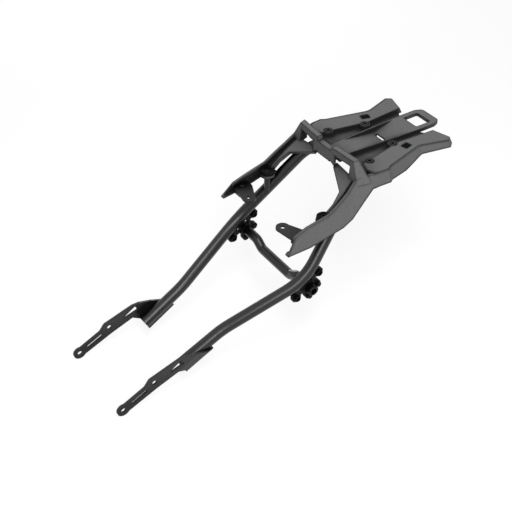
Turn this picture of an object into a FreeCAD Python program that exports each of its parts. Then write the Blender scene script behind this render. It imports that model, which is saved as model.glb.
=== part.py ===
import FreeCAD, Part
import math
import os

import Sketcher
from FreeCAD import Placement, Rotation, Vector

# A luggage rack for a motorcycle. +Z is up, +Y points to the rear of the machine and +X to its left.
# The origin lies on the mid-plane, on the axis of the two front eyes. Lengths are in millimetres.

SIZES = {
    # Main tubes: corners of the left tube's centre line, before the bends round them off
    "tube_diameter": 20,
    "tube_wall": 2,
    "tube_front_x": 59.1,
    "tube_front_y": 115.3,
    "tube_front_z": 20.9,
    "tube_kink_x": 63.7,
    "tube_kink_y": 193.9,
    "tube_kink_z": 60.4,
    "tube_bend_x": 99.3,
    "tube_bend_y": 331,
    "tube_bend_z": 125.3,
    "tube_rise_x": 62.9,
    "tube_rise_y": 453,
    "tube_rise_z": 250,
    "tube_rear_x": 31.6,
    "tube_rear_y": 572,
    "kink_bend_radius": 150,
    "main_bend_radius": 120,
    "rise_bend_radius": 60,
    # Front plates
    "plate_x": 76.2,
    "plate_gauge": 4,
    "eye_radius": 11,
    "eye_bore": 8.7,
    "neck_half_width": 9,
    "neck_angle": 23.6,
    "neck_length": 48,
    "shoulder_y": 49.6,
    "shoulder_z": 39,
    "crown_y": 103.5,
    "crown_z": 54,
    "crown_end_y": 116,
    "plate_rear_y": 137,
    "plate_rear_z": 48,
    "heel_y": 61,
    "heel_z": 14.4,
    "fold_y": 101.8,
    "fold_z": 27.9,
    "slot_start": 18.5,
    "slot_end": 45.3,
    "slot_width": 5.5,
    "second_hole_y": 57.8,
    "second_hole_z": 28.7,
    "second_hole": 8.5,
    "window_y": 99,
    "window_z": 40.3,
    "window_length": 25,
    "window_front_width": 4,
    "window_rear_width": 11,
    "window_round": 1.5,
    "flange_reach": 58,
    "weld_gap": 0.1,
    "fold_radius": 5,
    # Moulding: deck, wings and skirt
    "deck_top": 273,
    "deck_wall": 4,
    "skirt_wall": 3.5,
    "skirt_depth": 21,
    "tail_skirt_depth": 13,
    "inner_wall_depth": 11,
    "wing_front_y": 474,
    "wing_front_inner_x": 56,
    "wing_nose_x": 75,
    "wing_nose_y": 468,
    "wing_corner_x": 90,
    "wing_corner_y": 473,
    "wing_shoulder_x": 91.5,
    "wing_shoulder_y": 499,
    "wing_waist_x": 87,
    "wing_waist_y": 506,
    "wing_kink_x": 67,
    "wing_kink_y": 585,
    "wing_tip_x": 82.3,
    "wing_tip_y": 635.5,
    "wing_end_x": 75.6,
    "wing_end_y": 645,
    "wing_tail_x": 43,
    "wing_tail_y": 635.5,
    "wing_inner_x": 38.5,
    "wing_inner_y": 562,
    "wing_nose_round": 14,
    "wing_corner_round": 12,
    "wing_kink_round": 25,
    "wing_tip_round": 4,
    "edge_line_inset": 1.2,
    "edge_line_width": 1.2,
    "edge_line_depth": 1.5,
    "skirt_flare": 8,
    "kink_flare": 12,
    "tip_flare": 6,
    "end_flare": 11,
    "skirt_step_y": 541,
    # Rack screws and their seats
    "front_screw_x": 55.4,
    "front_screw_y": 488.1,
    "rear_screw_x": 36.8,
    "rear_screw_y": 552.4,
    "screw_diameter": 8,
    "screw_head_diameter": 13,
    "screw_head_height": 4.5,
    "screw_seat_diameter": 17,
    "screw_recess_diameter": 14.5,
    "screw_recess_depth": 4,
    "screw_clearance": 0.5,
    "screw_length": 20,
    "thread_clearance": 0.1,
    "hex_socket": 5,
    "socket_floor": 1,
    "head_crown": 1.3,
    "boss_diameter": 15,
    # Strap recesses and the trenches beside the spine
    "strap_hole_x": 54.3,
    "strap_hole_y": 567,
    "strap_hole_length": 15.5,
    "strap_hole_width": 12,
    "strap_hole_turn": 14,
    "strap_hole_depth": 10,
    "strap_hole_wall": 2.5,
    "strap_hole_round": 1.5,
    "trench_floor_wall": 2.5,
    # Spine and tail loop
    "spine_front_y": 456,
    "spine_front_half_width": 19,
    "spine_tail_half_width": 26.5,
    "spine_tail_y": 622,
    "rail_width": 3,
    "dip_start_y": 490,
    "dip_y": 556,
    "dip_end_y": 614,
    "dip_z": 264,
    "floor_wall": 3,
    "slit_half_length": 10.3,
    "slit_width": 5.5,
    "tail_end_y": 669,
    "tail_corner_y": 655,
    "tail_end_half_width": 21,
    "loop_half_width": 16.5,
    "loop_rear_y": 653,
    "tail_depth": 8.7,
    "tail_drop": 3,
    "tail_round": 8,
    "loop_round": 3,
    "floor_front_y": 475.5,
    "neck_depth": 4,
    # Raised bridge
    "bridge_top": 298,
    "bridge_front_y": 436.5,
    "bridge_width": 11,
    "bridge_depth": 12,
    "bridge_half_length": 70,
    "bridge_sweep": 3.5,
    "saddle_half_width": 16.5,
    "saddle_top": 290.8,
    "saddle_ramp": 3.5,
    "panel_half_width": 29,
    "panel_bottom": 272,
    "panel_corner_z": 265.5,
    "panel_gauge": 3,
    "pillar_wall": 5,
    # Webs
    "web_top_y": 444,
    "web_top_z": 270.5,
    "web_slope": 39.5,
    "web_wall": 5,
    "web_gap": 6,
    "web_floor_wall": 3,
    "web_mid_x": 68.9,
    "web_mid_y": 416.9,
    "web_low_x": 74.9,
    "web_low_y": 400,
    "web_end_y": 383,
    # Handle bands
    "band_wall": 4,
    "band_top_lip": 5,
    "band_low_lip": 9,
    "band_low_set": 5.2,
    "band_top_set": 0.8,
    "handle_end_top_y": 316,
    "handle_end_top_z": 212,
    "handle_end_low_y": 298,
    "handle_end_low_z": 187,
    # Stations of the band, from its front end to the wing: the place along the rack, the ridge at the
    # top of the outer face and the lower edge of that face
    "band_nose_y": 292,
    "band_nose_ridge_x": 91.5,
    "band_nose_ridge_z": 205,
    "band_nose_edge_x": 98,
    "band_nose_edge_z": 186.5,
    "band_grip_y": 340,
    "band_grip_ridge_x": 90,
    "band_grip_ridge_z": 221,
    "band_grip_edge_x": 101,
    "band_grip_edge_z": 189.5,
    "band_knee_y": 382,
    "band_knee_ridge_x": 92,
    "band_knee_ridge_z": 230,
    "band_knee_edge_x": 103,
    "band_knee_edge_z": 199,
    "band_rise_y": 402,
    "band_rise_ridge_x": 91,
    "band_rise_ridge_z": 243,
    "band_rise_edge_x": 104.5,
    "band_rise_edge_z": 204.5,
    "band_climb_y": 420,
    "band_climb_ridge_x": 89,
    "band_climb_ridge_z": 255,
    "band_climb_edge_x": 104,
    "band_climb_edge_z": 213.5,
    "band_crest_y": 440,
    "band_crest_ridge_x": 84.5,
    "band_crest_ridge_z": 272,
    "band_crest_edge_x": 102,
    "band_crest_edge_z": 233,
    "band_root_y": 462,
    "band_root_ridge_x": 88,
    "band_root_ridge_z": 273,
    "band_root_edge_x": 99.5,
    "band_root_edge_z": 253,
    "band_wing_y": 482,
    "band_wing_ridge_x": 90.5,
    "band_wing_ridge_z": 271,
    "band_wing_edge_x": 98.5,
    "band_wing_edge_z": 252.2,
    # Handle fixing
    "post_x": 79,
    "post_y": 380,
    "post_diameter": 11,
    "lug_radius": 13,
    "lug_top": 215,
    "lug_wall": 5,
    "bush_diameter": 24,
    "bush_height": 7.5,
    "handle_bolt_diameter": 6,
    "handle_bolt_head_diameter": 12,
    "handle_bolt_head_height": 3.5,
    "handle_bolt_length": 24,
    # Seat tabs
    "tab_top": 205,
    "tab_gauge": 3.5,
    "tab_hole_x": 48.3,
    "tab_hole_y": 322.2,
    "tab_hole": 7.5,
    "tab_end_radius": 11.5,
    "tab_root_x": 91,
    "tab_root_front_y": 316,
    "tab_root_rear_y": 346,
    "tab_screw_x": 83,
    "tab_screw_y": 331,
    "tab_screw_diameter": 6,
    "tab_screw_head_diameter": 11,
    "tab_screw_head_height": 3.3,
    "tab_screw_length": 12,
    "tab_screw_socket": 4,
    "ledge_depth": 11,
    "ledge_inner_x": 74,
    # Cross brace and its brackets
    "bracket_x": 95,
    "bracket_gauge": 5,
    "brace_y": 345,
    "brace_z": 100,
    "brace_diameter": 17,
    "brace_wall": 2,
    "brace_step_x": 58,
    "brace_flat_x": 42,
    "brace_drop": 11,
    "brace_bend_radius": 16,
    "bracket_boss_radius": 13,
    "upper_lug_y": 360.3,
    "upper_lug_z": 127.2,
    "lower_lug_y": 317.5,
    "lower_lug_z": 92.2,
    "bracket_lug_radius": 9,
    "bracket_bush_diameter": 11,
    "bracket_bush_length": 14,
    "bracket_bush_bore": 6.5,
    "upper_gap_y": 345.2,
    "upper_gap_z": 116.5,
    "lower_gap_y": 329.9,
    "lower_gap_z": 105.4,
    "bracket_gap": 7,
    "carrier_boss_diameter": 19,
    "carrier_boss_length": 10,
    "carrier_bore": 10.5,
    "flange_gauge": 4,
    "flange_bolt_offset": 15,
    "flange_bolt_angle": -44,
    "flange_bolt_spread": 110,
    "flange_ear_radius": 6.5,
    "flange_bolt_diameter": 5,
    "flange_bolt_head": 8,
    "flange_bolt_head_height": 3.5,
    "flange_bolt_socket": 3.5,
    "flange_nut_height": 4.5,
    # Shared rounding
    "edge_round": 1,
    "corner_round": 4,
}

# The band's stations in order
BAND_STATIONS = ("nose", "grip", "knee", "rise", "climb", "crest", "root", "wing")

# Sine of the largest angle between a line and the axis that it is taken to follow
STRAIGHT_TOLERANCE = 0.01

doc = FreeCAD.newDocument("luggage_rack")
sheet = doc.addObject("Spreadsheet::Sheet", "Sizes")


def fill_sheet():
    """Write every size into the sheet under its alias."""
    for row, (alias, number) in enumerate(SIZES.items(), start=1):
        sheet.set(f"A{row}", alias.replace("_", " "))
        sheet.set(f"B{row}", str(number))
        sheet.setAlias(f"B{row}", alias)
    doc.recompute()


fill_sheet()


def size(alias):
    """A size from the sheet."""
    return float(sheet.get(alias))


def value(expression):
    """The present value of an expression over the sheet's sizes."""
    result = sheet.evalExpression(expression)
    return float(getattr(result, "Value", result))


def bind(feature, **expressions):
    """Bind properties of a feature to expressions over the sheet."""
    for name, expression in expressions.items():
        feature.setExpression(name, expression)


def new_body(label):
    body = doc.addObject("PartDesign::Body", label)
    body.Label = label
    return body


def new_sketch(body, name, role, offset="0"):
    """A sketch on one of the body's origin planes, moved along the plane's normal."""
    sketch = body.newObject("Sketcher::SketchObject", name)
    plane = next(item for item in body.Origin.OriginFeatures if item.Role == role)
    sketch.AttachmentSupport = [(plane, "")]
    sketch.MapMode = "FlatFace"
    sketch.setExpression(".AttachmentOffset.Base.z", offset)
    return sketch


def hold(sketch, geometry, point, place):
    """Hold a sketch point at a pair of expressions from the sketch's origin."""
    for axis, expression in zip("XY", place):
        constraint = Sketcher.Constraint("Distance" + axis, -1, 1, geometry, point, value(expression))
        index = sketch.addConstraint(constraint)
        sketch.setExpression(f"Constraints[{index}]", expression)


def add_outline(sketch, places, rounds=None):
    """A closed outline through pairs of expressions, some of its corners rounded by a radius expression."""
    rounds = rounds or {}
    corners = [Vector(value(across), value(along), 0) for across, along in places]
    count = len(corners)
    turns = []
    for index, corner in enumerate(corners):
        if index in rounds:
            following = corners[(index + 1) % count]
            turns.append(corner_arc(corners[index - 1], corner, following, value(rounds[index])))
        else:
            turns.append((corner, None, corner))
    sides = []
    for index in range(count):
        side = Part.LineSegment(turns[index][2], turns[(index + 1) % count][0])
        sides.append(sketch.addGeometry(side, False))
    for index, place in enumerate(places):
        before, after = sides[index - 1], sides[index]
        if index in rounds:
            turn_corner(sketch, before, after, turns[index], place, rounds[index])
        else:
            sketch.addConstraint(Sketcher.Constraint("Coincident", before, 2, after, 1))
            hold(sketch, after, 1, place)


def corner_arc(before, corner, after, radius):
    """Start, middle and end of the arc of a given radius that rounds off a corner."""
    back = (before - corner).normalize()
    ahead = (after - corner).normalize()
    half_turn = (math.pi - back.getAngle(ahead)) / 2
    reach = radius * math.tan(half_turn)
    bisector = (back + ahead).normalize()
    middle = corner + bisector * (radius / math.cos(half_turn) - radius)
    return corner + back * reach, middle, corner + ahead * reach


def turn_corner(sketch, before, after, turn, place, radius):
    """Join two lines of a sketch by an arc whose lines would meet at a pair of expressions."""
    start, middle, end = turn
    arc = sketch.addGeometry(Part.Arc(start, middle, end), False)
    anticlockwise = (middle - start).cross(end - middle).z > 0
    first_end, last_end = (1, 2) if anticlockwise else (2, 1)
    sketch.addConstraint(Sketcher.Constraint("Tangent", before, 2, arc, first_end))
    sketch.addConstraint(Sketcher.Constraint("Tangent", arc, last_end, after, 1))
    index = sketch.addConstraint(Sketcher.Constraint("Radius", arc, value(radius)))
    sketch.setExpression(f"Constraints[{index}]", radius)
    corner = sketch.addGeometry(Part.Point(Vector(value(place[0]), value(place[1]), 0)), True)
    hold(sketch, corner, 1, place)
    for side in (before, after):
        sketch.addConstraint(Sketcher.Constraint("PointOnObject", corner, 1, side))


def add_circle(sketch, place, radius):
    """A circle about a pair of expressions."""
    centre = Vector(value(place[0]), value(place[1]), 0)
    index = sketch.addGeometry(Part.Circle(centre, Vector(0, 0, 1), value(radius)), False)
    hold(sketch, index, 3, place)
    constraint = sketch.addConstraint(Sketcher.Constraint("Radius", index, value(radius)))
    sketch.setExpression(f"Constraints[{constraint}]", radius)


def pad(body, sketch, length, midplane=False, reverse=False):
    feature = body.newObject("PartDesign::Pad", sketch.Name + "_pad")
    feature.Profile = sketch
    feature.Midplane = midplane
    feature.Reversed = reverse
    bind(feature, Length=length)
    doc.recompute()
    return feature


def pocket(body, sketch, length=None, midplane=False, reverse=False):
    """A cut of a given depth, or right through when no depth is given."""
    feature = body.newObject("PartDesign::Pocket", sketch.Name + "_cut")
    feature.Profile = sketch
    feature.Midplane = midplane
    feature.Reversed = reverse
    if length is None:
        feature.Type = "ThroughAll"
    else:
        bind(feature, Length=length)
    before = body.Shape.Volume
    doc.recompute()
    if body.Shape.Volume >= before:
        raise RuntimeError(f"{feature.Name} cuts nothing")
    return feature


def loft(body, name, sections, kind="PartDesign::AdditiveLoft", ruled=True):
    feature = body.newObject(kind, name)
    feature.Profile = sections[0]
    feature.Sections = sections[1:]
    feature.Ruled = ruled
    doc.recompute()
    return feature


def round_edges(body, name, chosen, radius):
    """Round the edges of the body's shape that pass a test."""
    base = body.Tip
    edges = [f"Edge{i}" for i, edge in enumerate(base.Shape.Edges, start=1) if chosen(edge)]
    feature = body.newObject("PartDesign::Fillet", name)
    feature.Base = (base, edges)
    bind(feature, Radius=radius)
    doc.recompute()
    return feature


def along(axis):
    """A test for straight edges that run along an axis."""
    def test(edge):
        if edge.Curve.TypeId != "Part::GeomLine":
            return False
        return edge.Curve.Direction.cross(axis).Length < STRAIGHT_TOLERANCE
    return test


def near(axis, *places, reach):
    """A test for straight edges along an axis that pass close to one of some points."""
    straight = along(axis)

    def test(edge):
        if not straight(edge):
            return False
        middle = edge.valueAt((edge.FirstParameter + edge.LastParameter) / 2)
        offsets = [(middle - place) - axis * (middle - place).dot(axis) for place in places]
        return min(offset.Length for offset in offsets) < reach
    return test


def fuse(label, *pieces):
    feature = doc.addObject("Part::MultiFuse", label)
    feature.Label = label
    feature.Shapes = list(pieces)
    feature.Refine = True
    return feature


def cut(label, base, tool):
    feature = doc.addObject("Part::Cut", label)
    feature.Label = label
    feature.Base = base
    feature.Tool = tool
    return feature


def mirror(label, source):
    """The same piece on the other side of the mid-plane."""
    feature = doc.addObject("Part::Mirroring", label)
    feature.Label = label
    feature.Source = source
    feature.Normal = Vector(1, 0, 0)
    return feature


def cylinder(label, radius, height, place, axis=Vector(0, 0, 1)):
    feature = doc.addObject("Part::Cylinder", label)
    feature.Label = label
    bind(feature, Radius=radius, Height=height)
    feature.Placement = Placement(place, Rotation(Vector(0, 0, 1), axis))
    return feature


# Main tubes


def tube_corners():
    """Corners of the left main tube's centre line."""
    names = ("front", "kink", "bend", "rise")
    corners = [Vector(*(size(f"tube_{name}_{axis}") for axis in "xyz")) for name in names]
    corners.append(Vector(size("tube_rear_x"), size("tube_rear_y"), size("tube_rise_z")))
    return corners


def bent_path(corners, radii):
    """A wire of straight runs joined by tangent arcs, one radius for each inner corner."""
    edges = []
    start = corners[0]
    for before, corner, after, radius in zip(corners, corners[1:], corners[2:], radii):
        arc_start, middle, arc_end = corner_arc(before, corner, after, radius)
        edges.append(Part.LineSegment(start, arc_start).toShape())
        edges.append(Part.Arc(arc_start, middle, arc_end).toShape())
        start = arc_end
    edges.append(Part.LineSegment(start, corners[-1]).toShape())
    return Part.Wire(edges)


def swept_rod(label, path, radius):
    """A round rod along a path, its radius bound to the sheet."""
    section = doc.addObject("Part::Circle", label + "_section")
    bind(section, Radius=radius)
    first = path.Shape.Edges[0]
    heading = first.tangentAt(first.FirstParameter)
    section.Placement = Placement(first.valueAt(first.FirstParameter), Rotation(Vector(0, 0, 1), heading))
    rod = doc.addObject("Part::Sweep", label)
    rod.Sections = [section]
    rod.Spine = (path, [f"Edge{i}" for i in range(1, len(path.Shape.Edges) + 1)])
    rod.Solid = True
    rod.Frenet = False
    return rod


def bent_tube(label, corners, radii, diameter, wall):
    """A tube with open ends, and the solid rod that fills its outside."""
    path = doc.addObject("Part::Feature", label + "_path")
    path.Shape = bent_path(corners, radii)
    rod = swept_rod(label + "_outside", path, f"{diameter} / 2")
    bore = swept_rod(label + "_bore", path, f"{diameter} / 2 - {wall}")
    return cut(label, rod, bore), rod


def main_tube():
    radii = [size("kink_bend_radius"), size("main_bend_radius"), size("rise_bend_radius")]
    return bent_tube("left_tube_blank", tube_corners(), radii, "Sizes.tube_diameter", "Sizes.tube_wall")


# Front plates


def front_plate():
    """A slotted sheet plate whose rear edge is folded in under the tube's front end."""
    body = new_body("left_front_plate_flat")
    neck_z = "Sizes.neck_half_width * cos(Sizes.neck_angle)"
    neck_y = "Sizes.neck_half_width * sin(Sizes.neck_angle)"
    outline = new_sketch(body, "plate_outline", "YZ_Plane", "Sizes.plate_x")
    add_outline(outline, [
        (f"-{neck_y}", neck_z),
        (f"Sizes.neck_length * cos(Sizes.neck_angle) - {neck_y}",
         f"Sizes.neck_length * sin(Sizes.neck_angle) + {neck_z}"),
        ("Sizes.shoulder_y", "Sizes.shoulder_z"),
        ("Sizes.crown_y", "Sizes.crown_z"),
        ("Sizes.crown_end_y", "Sizes.crown_z"),
        ("Sizes.plate_rear_y", "Sizes.plate_rear_z"),
        ("Sizes.fold_y", "Sizes.fold_z"),
        ("Sizes.heel_y", "Sizes.heel_z"),
        (neck_y, f"-{neck_z}"),
    ])
    pad(body, outline, "Sizes.plate_gauge", midplane=True)
    eye = new_sketch(body, "plate_eye", "YZ_Plane", "Sizes.plate_x")
    add_circle(eye, ("0", "0"), "Sizes.eye_radius")
    pad(body, eye, "Sizes.plate_gauge", midplane=True)
    holes = new_sketch(body, "plate_holes", "YZ_Plane", "Sizes.plate_x")
    add_circle(holes, ("0", "0"), "Sizes.eye_bore / 2")
    add_circle(holes, ("Sizes.second_hole_y", "Sizes.second_hole_z"), "Sizes.second_hole / 2")
    add_slot(holes, "Sizes.slot_start", "Sizes.slot_end", "Sizes.slot_width", "Sizes.neck_angle")
    pocket(body, holes, "2 * Sizes.plate_gauge", midplane=True)
    window = new_sketch(body, "plate_window", "YZ_Plane", "Sizes.plate_x")
    add_turned_box(window, ("Sizes.window_y", "Sizes.window_z"), "Sizes.window_length",
                   ("Sizes.window_front_width", "Sizes.window_rear_width"), "Sizes.neck_angle",
                   "Sizes.window_round")
    pocket(body, window, "2 * Sizes.plate_gauge", midplane=True)
    corners = near(Vector(1, 0, 0), *plate_corners(), reach=size("edge_round"))
    round_edges(body, "plate_corners", corners, "Sizes.corner_round")
    return fuse("left_front_plate", body, plate_flange())


def plate_corners():
    """Corners of the plate that are rounded off."""
    names = [("shoulder_y", "shoulder_z"), ("crown_y", "crown_z"), ("heel_y", "heel_z")]
    return [Vector(size("plate_x"), size(across), size(up)) for across, up in names]


def add_slot(sketch, start, end, width, angle):
    """A slot with round ends along a line from the sketch's origin."""
    places = []
    for distance in (start, end):
        places.append((f"{distance} * cos({angle})", f"{distance} * sin({angle})"))
    radius = value(width) / 2
    first_end, last_end = [Vector(value(across), value(up), 0) for across, up in places]
    side = Vector(-math.sin(math.radians(value(angle))), math.cos(math.radians(value(angle))), 0) * radius
    heading = (last_end - first_end).normalize() * radius
    geometry = [
        Part.LineSegment(first_end + side, last_end + side),
        Part.Arc(last_end + side, last_end + heading, last_end - side),
        Part.LineSegment(last_end - side, first_end - side),
        Part.Arc(first_end - side, first_end - heading, first_end + side),
    ]
    indices = [sketch.addGeometry(item, False) for item in geometry]
    top, far_arc, low, near_arc = indices
    turns = [(top, 2, far_arc, 2), (far_arc, 1, low, 1), (low, 2, near_arc, 2), (near_arc, 1, top, 1)]
    for turn in turns:
        sketch.addConstraint(Sketcher.Constraint("Tangent", *turn))
    hold(sketch, near_arc, 3, places[0])
    hold(sketch, far_arc, 3, places[1])
    index = sketch.addConstraint(Sketcher.Constraint("Radius", far_arc, radius))
    sketch.setExpression(f"Constraints[{index}]", f"{width} / 2")


def add_turned_box(sketch, centre, length, widths, angle, radius):
    """A box with round corners about a centre, turned by an angle, with a width for each of its ends."""
    first_width, last_width = widths
    corners = []
    for along_sign, across_sign, width in ((-1, -1, first_width), (1, -1, last_width),
                                           (1, 1, last_width), (-1, 1, first_width)):
        reach = f"{along_sign} * {length} / 2"
        side = f"{across_sign} * {width} / 2"
        corners.append((f"{centre[0]} + ({reach}) * cos({angle}) - ({side}) * sin({angle})",
                        f"{centre[1]} + ({reach}) * sin({angle}) + ({side}) * cos({angle})"))
    add_outline(sketch, corners, {index: radius for index in range(len(corners))})


def plate_flange():
    """The folded part of the plate: a sheet that runs in from the plate and curls under the tube."""
    front, kink = tube_corners()[:2]
    heading = (kink - front).normalize()
    forward = Vector(0, heading.y, heading.z).normalize()
    lift = Vector(0, -forward.z, forward.y)
    radius = size("tube_diameter") / 2
    gauge = size("plate_gauge")
    plate = size("plate_x")
    curl = radius + size("weld_gap")
    under = -curl - gauge / 2
    origin = Vector(0, front.y, front.z)
    fold = Vector(0, size("fold_y"), size("fold_z")) - origin
    plate_rear = Vector(0, size("plate_rear_y"), size("plate_rear_z")) - origin

    def section(distance):
        centre = front + heading * distance
        middle = [(plate, fold.dot(lift) + gauge), (plate, fold.dot(lift)),
                  (centre.x - under, under), (centre.x - radius / 2, under)]
        bend = size("fold_radius")
        radii = [0, bend + gauge, curl + gauge, 0, 0, curl, bend, 0]
        level = Vector(0, centre.y, centre.z)
        points = [level + Vector(across, 0, 0) + lift * up for across, up in thick_line(middle, gauge)]
        return rounded_wire(points, radii)

    reach = size("flange_reach")
    below = -2 * size("tube_diameter")
    side_view = [
        (fold.dot(forward), fold.dot(lift) + gauge),
        (fold.dot(forward), fold.dot(lift)),
        (0, 0),
        (0, below),
        (reach, below),
        (reach, under),
        (plate_rear.dot(forward), plate_rear.dot(lift)),
    ]
    corners = [origin + forward * ahead + lift * up for ahead, up in side_view]
    trim = doc.addObject("Part::Feature", "left_plate_flange_trim")
    trim.Shape = Part.Face(Part.makePolygon(corners + corners[:1])).extrude(Vector(plate + gauge, 0, 0))
    blank = doc.addObject("Part::Feature", "left_plate_flange_blank")
    blank.Shape = Part.makeLoft([section(-reach), section(2 * reach)], True, True)
    flange = doc.addObject("Part::Common", "left_plate_flange")
    flange.Base = blank
    flange.Tool = trim
    return flange


def thick_line(points, thickness):
    """Corners of a strip of even thickness about an open line in a plane."""
    sides = []
    for sign in (1, -1):
        offsets = []
        for start, end in zip(points, points[1:]):
            run = math.hypot(end[0] - start[0], end[1] - start[1])
            normal = (-(end[1] - start[1]) / run, (end[0] - start[0]) / run)
            shift = sign * thickness / 2
            offsets.append([(p[0] + normal[0] * shift, p[1] + normal[1] * shift) for p in (start, end)])
        side = [offsets[0][0]]
        side += [crossing(first, second) for first, second in zip(offsets, offsets[1:])]
        side.append(offsets[-1][1])
        sides.append(side)
    return sides[0] + sides[1][::-1]


def crossing(first, second):
    """Where two lines in a plane cross."""
    (ax, ay), (bx, by) = first
    (cx, cy), (dx, dy) = second
    share = ((cx - ax) * (dy - cy) - (cy - ay) * (dx - cx)) / ((bx - ax) * (dy - cy) - (by - ay) * (dx - cx))
    return (ax + share * (bx - ax), ay + share * (by - ay))


def rounded_wire(points, radii):
    """A closed outline with its corners rounded by arcs."""
    edges = []
    count = len(points)
    turns = []
    for index, radius in enumerate(radii):
        corner = points[index]
        if radius == 0:
            turns.append((corner, None, corner))
        else:
            turns.append(corner_arc(points[index - 1], corner, points[(index + 1) % count], radius))
    for index in range(count):
        start, middle, leave = turns[index]
        if middle is not None:
            edges.append(Part.Arc(start, middle, leave).toShape())
        edges.append(Part.LineSegment(leave, turns[(index + 1) % count][0]).toShape())
    return Part.Wire(edges)


# Moulding

# Corners of the left wing's top outline, the flare of the skirt below each and the way into the wing
WING_CORNERS = [
    ("Sizes.wing_front_inner_x", "Sizes.wing_front_y", "0", "0", 1, 1),
    ("Sizes.wing_nose_x", "Sizes.wing_nose_y", "0", "0", 0, 1),
    ("Sizes.wing_corner_x", "Sizes.wing_corner_y", "Sizes.skirt_flare", "0", -1, 1),
    ("Sizes.wing_shoulder_x", "Sizes.wing_shoulder_y", "Sizes.skirt_flare", "0", -1, 0),
    ("Sizes.wing_waist_x", "Sizes.wing_waist_y", "Sizes.skirt_flare", "0", -1, 0),
    ("Sizes.wing_kink_x", "Sizes.wing_kink_y", "Sizes.kink_flare", "0", -1, 0),
    ("Sizes.wing_tip_x", "Sizes.wing_tip_y", "Sizes.tip_flare", "Sizes.tip_flare", -1, 0),
    ("Sizes.wing_end_x", "Sizes.wing_end_y", "0", "Sizes.end_flare", -1, -1),
    ("Sizes.wing_tail_x", "Sizes.wing_tail_y", "0", "Sizes.end_flare", 1, -1),
    ("Sizes.wing_inner_x", "Sizes.wing_inner_y", "0", "0", 1, 0),
]

# Radii of the wing's corners, by their place in that list
WING_ROUNDS = {
    1: "Sizes.wing_nose_round",
    2: "Sizes.wing_corner_round",
    5: "Sizes.wing_kink_round",
    6: "Sizes.wing_tip_round",
    7: "Sizes.wing_tip_round",
    9: "Sizes.wing_kink_round",
}


def wing_places(flared, inset):
    """Corners of the wing's outline at its top or at the skirt's foot, moved inwards by an inset."""
    places = []
    for across, along_rack, flare_x, flare_y, inward_x, inward_y in WING_CORNERS:
        if flared:
            across = f"{across} + {flare_x}"
            along_rack = f"{along_rack} + {flare_y}"
        places.append((f"{across} + {inward_x} * {inset}", f"{along_rack} + {inward_y} * {inset}"))
    return places


def add_edge_line(body):
    """The fine groove that parts the wing's top from its skirt, from the nose round to the tip."""
    nose, tip = 1, 6
    outer = wing_places(False, "Sizes.edge_line_inset")[nose:tip + 1]
    inner = wing_places(False, "(Sizes.edge_line_inset + Sizes.edge_line_width)")[nose:tip + 1]
    places = outer + inner[::-1]
    rounds = {}
    for corner in (2, 5):
        rounds[corner - nose] = WING_ROUNDS[corner]
        rounds[len(places) - 1 - (corner - nose)] = WING_ROUNDS[corner]
    line = new_sketch(body, "edge_line", "XY_Plane", "Sizes.deck_top")
    add_outline(line, places, rounds)
    pocket(body, line, "Sizes.edge_line_depth")


def add_wing(body):
    """One wing: a flat top with a flared skirt, open below."""
    foot = "Sizes.deck_top - Sizes.skirt_depth"
    top = new_sketch(body, "wing_top", "XY_Plane", "Sizes.deck_top")
    add_outline(top, wing_places(False, "0"), WING_ROUNDS)
    low = new_sketch(body, "wing_foot", "XY_Plane", foot)
    add_outline(low, wing_places(True, "0"), WING_ROUNDS)
    loft(body, "wing", [top, low])
    inner_top = new_sketch(body, "wing_hollow_top", "XY_Plane", "Sizes.deck_top - Sizes.deck_wall")
    add_outline(inner_top, wing_places(False, "Sizes.skirt_wall"))
    inner_low = new_sketch(body, "wing_hollow_foot", "XY_Plane", foot)
    add_outline(inner_low, wing_places(True, "Sizes.skirt_wall"))
    loft(body, "wing_hollow", [inner_top, inner_low], "PartDesign::SubtractiveLoft")
    trim = new_sketch(body, "skirt_line", "YZ_Plane")
    tail_z = "Sizes.deck_top - Sizes.tail_skirt_depth"
    under = f"{foot} - Sizes.skirt_depth"
    add_outline(trim, [
        ("Sizes.skirt_step_y", foot),
        ("Sizes.wing_kink_y", tail_z),
        ("Sizes.tail_end_y", tail_z),
        ("Sizes.tail_end_y", under),
        ("Sizes.skirt_step_y", under),
    ])
    pocket(body, trim, "2 * Sizes.wing_shoulder_x + 4 * Sizes.skirt_flare", midplane=True)
    inner = new_sketch(body, "inner_wall_line", "XZ_Plane", "-Sizes.wing_nose_y")
    inner_z = "Sizes.deck_top - Sizes.inner_wall_depth"
    add_outline(inner, [
        ("0", inner_z),
        ("Sizes.wing_kink_x - Sizes.skirt_wall", inner_z),
        ("Sizes.wing_nose_x - Sizes.skirt_wall", foot),
        ("Sizes.wing_nose_x - Sizes.skirt_wall", under),
        ("0", under),
    ])
    pocket(body, inner, "2 * Sizes.tail_end_y", midplane=True)
    add_edge_line(body)


def add_strap_recess(body):
    """The blind recess for a strap, with walls that hang below the wing's top."""
    centre = ("Sizes.strap_hole_x", "Sizes.strap_hole_y")
    wall = "2 * Sizes.strap_hole_wall"
    outer_width = f"(Sizes.strap_hole_length + {wall})"
    walls = new_sketch(body, "strap_recess_walls", "XY_Plane", "Sizes.deck_top - Sizes.deck_wall")
    add_turned_box(walls, centre, f"(Sizes.strap_hole_width + {wall})", (outer_width, outer_width),
                   "Sizes.strap_hole_turn", "(Sizes.strap_hole_round + Sizes.strap_hole_wall)")
    pad(body, walls, "Sizes.strap_hole_depth + Sizes.strap_hole_wall - Sizes.deck_wall", reverse=True)
    recess = new_sketch(body, "strap_recess", "XY_Plane", "Sizes.deck_top")
    add_turned_box(recess, centre, "Sizes.strap_hole_width",
                   ("Sizes.strap_hole_length", "Sizes.strap_hole_length"),
                   "Sizes.strap_hole_turn", "Sizes.strap_hole_round")
    pocket(body, recess, "Sizes.strap_hole_depth")


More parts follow.
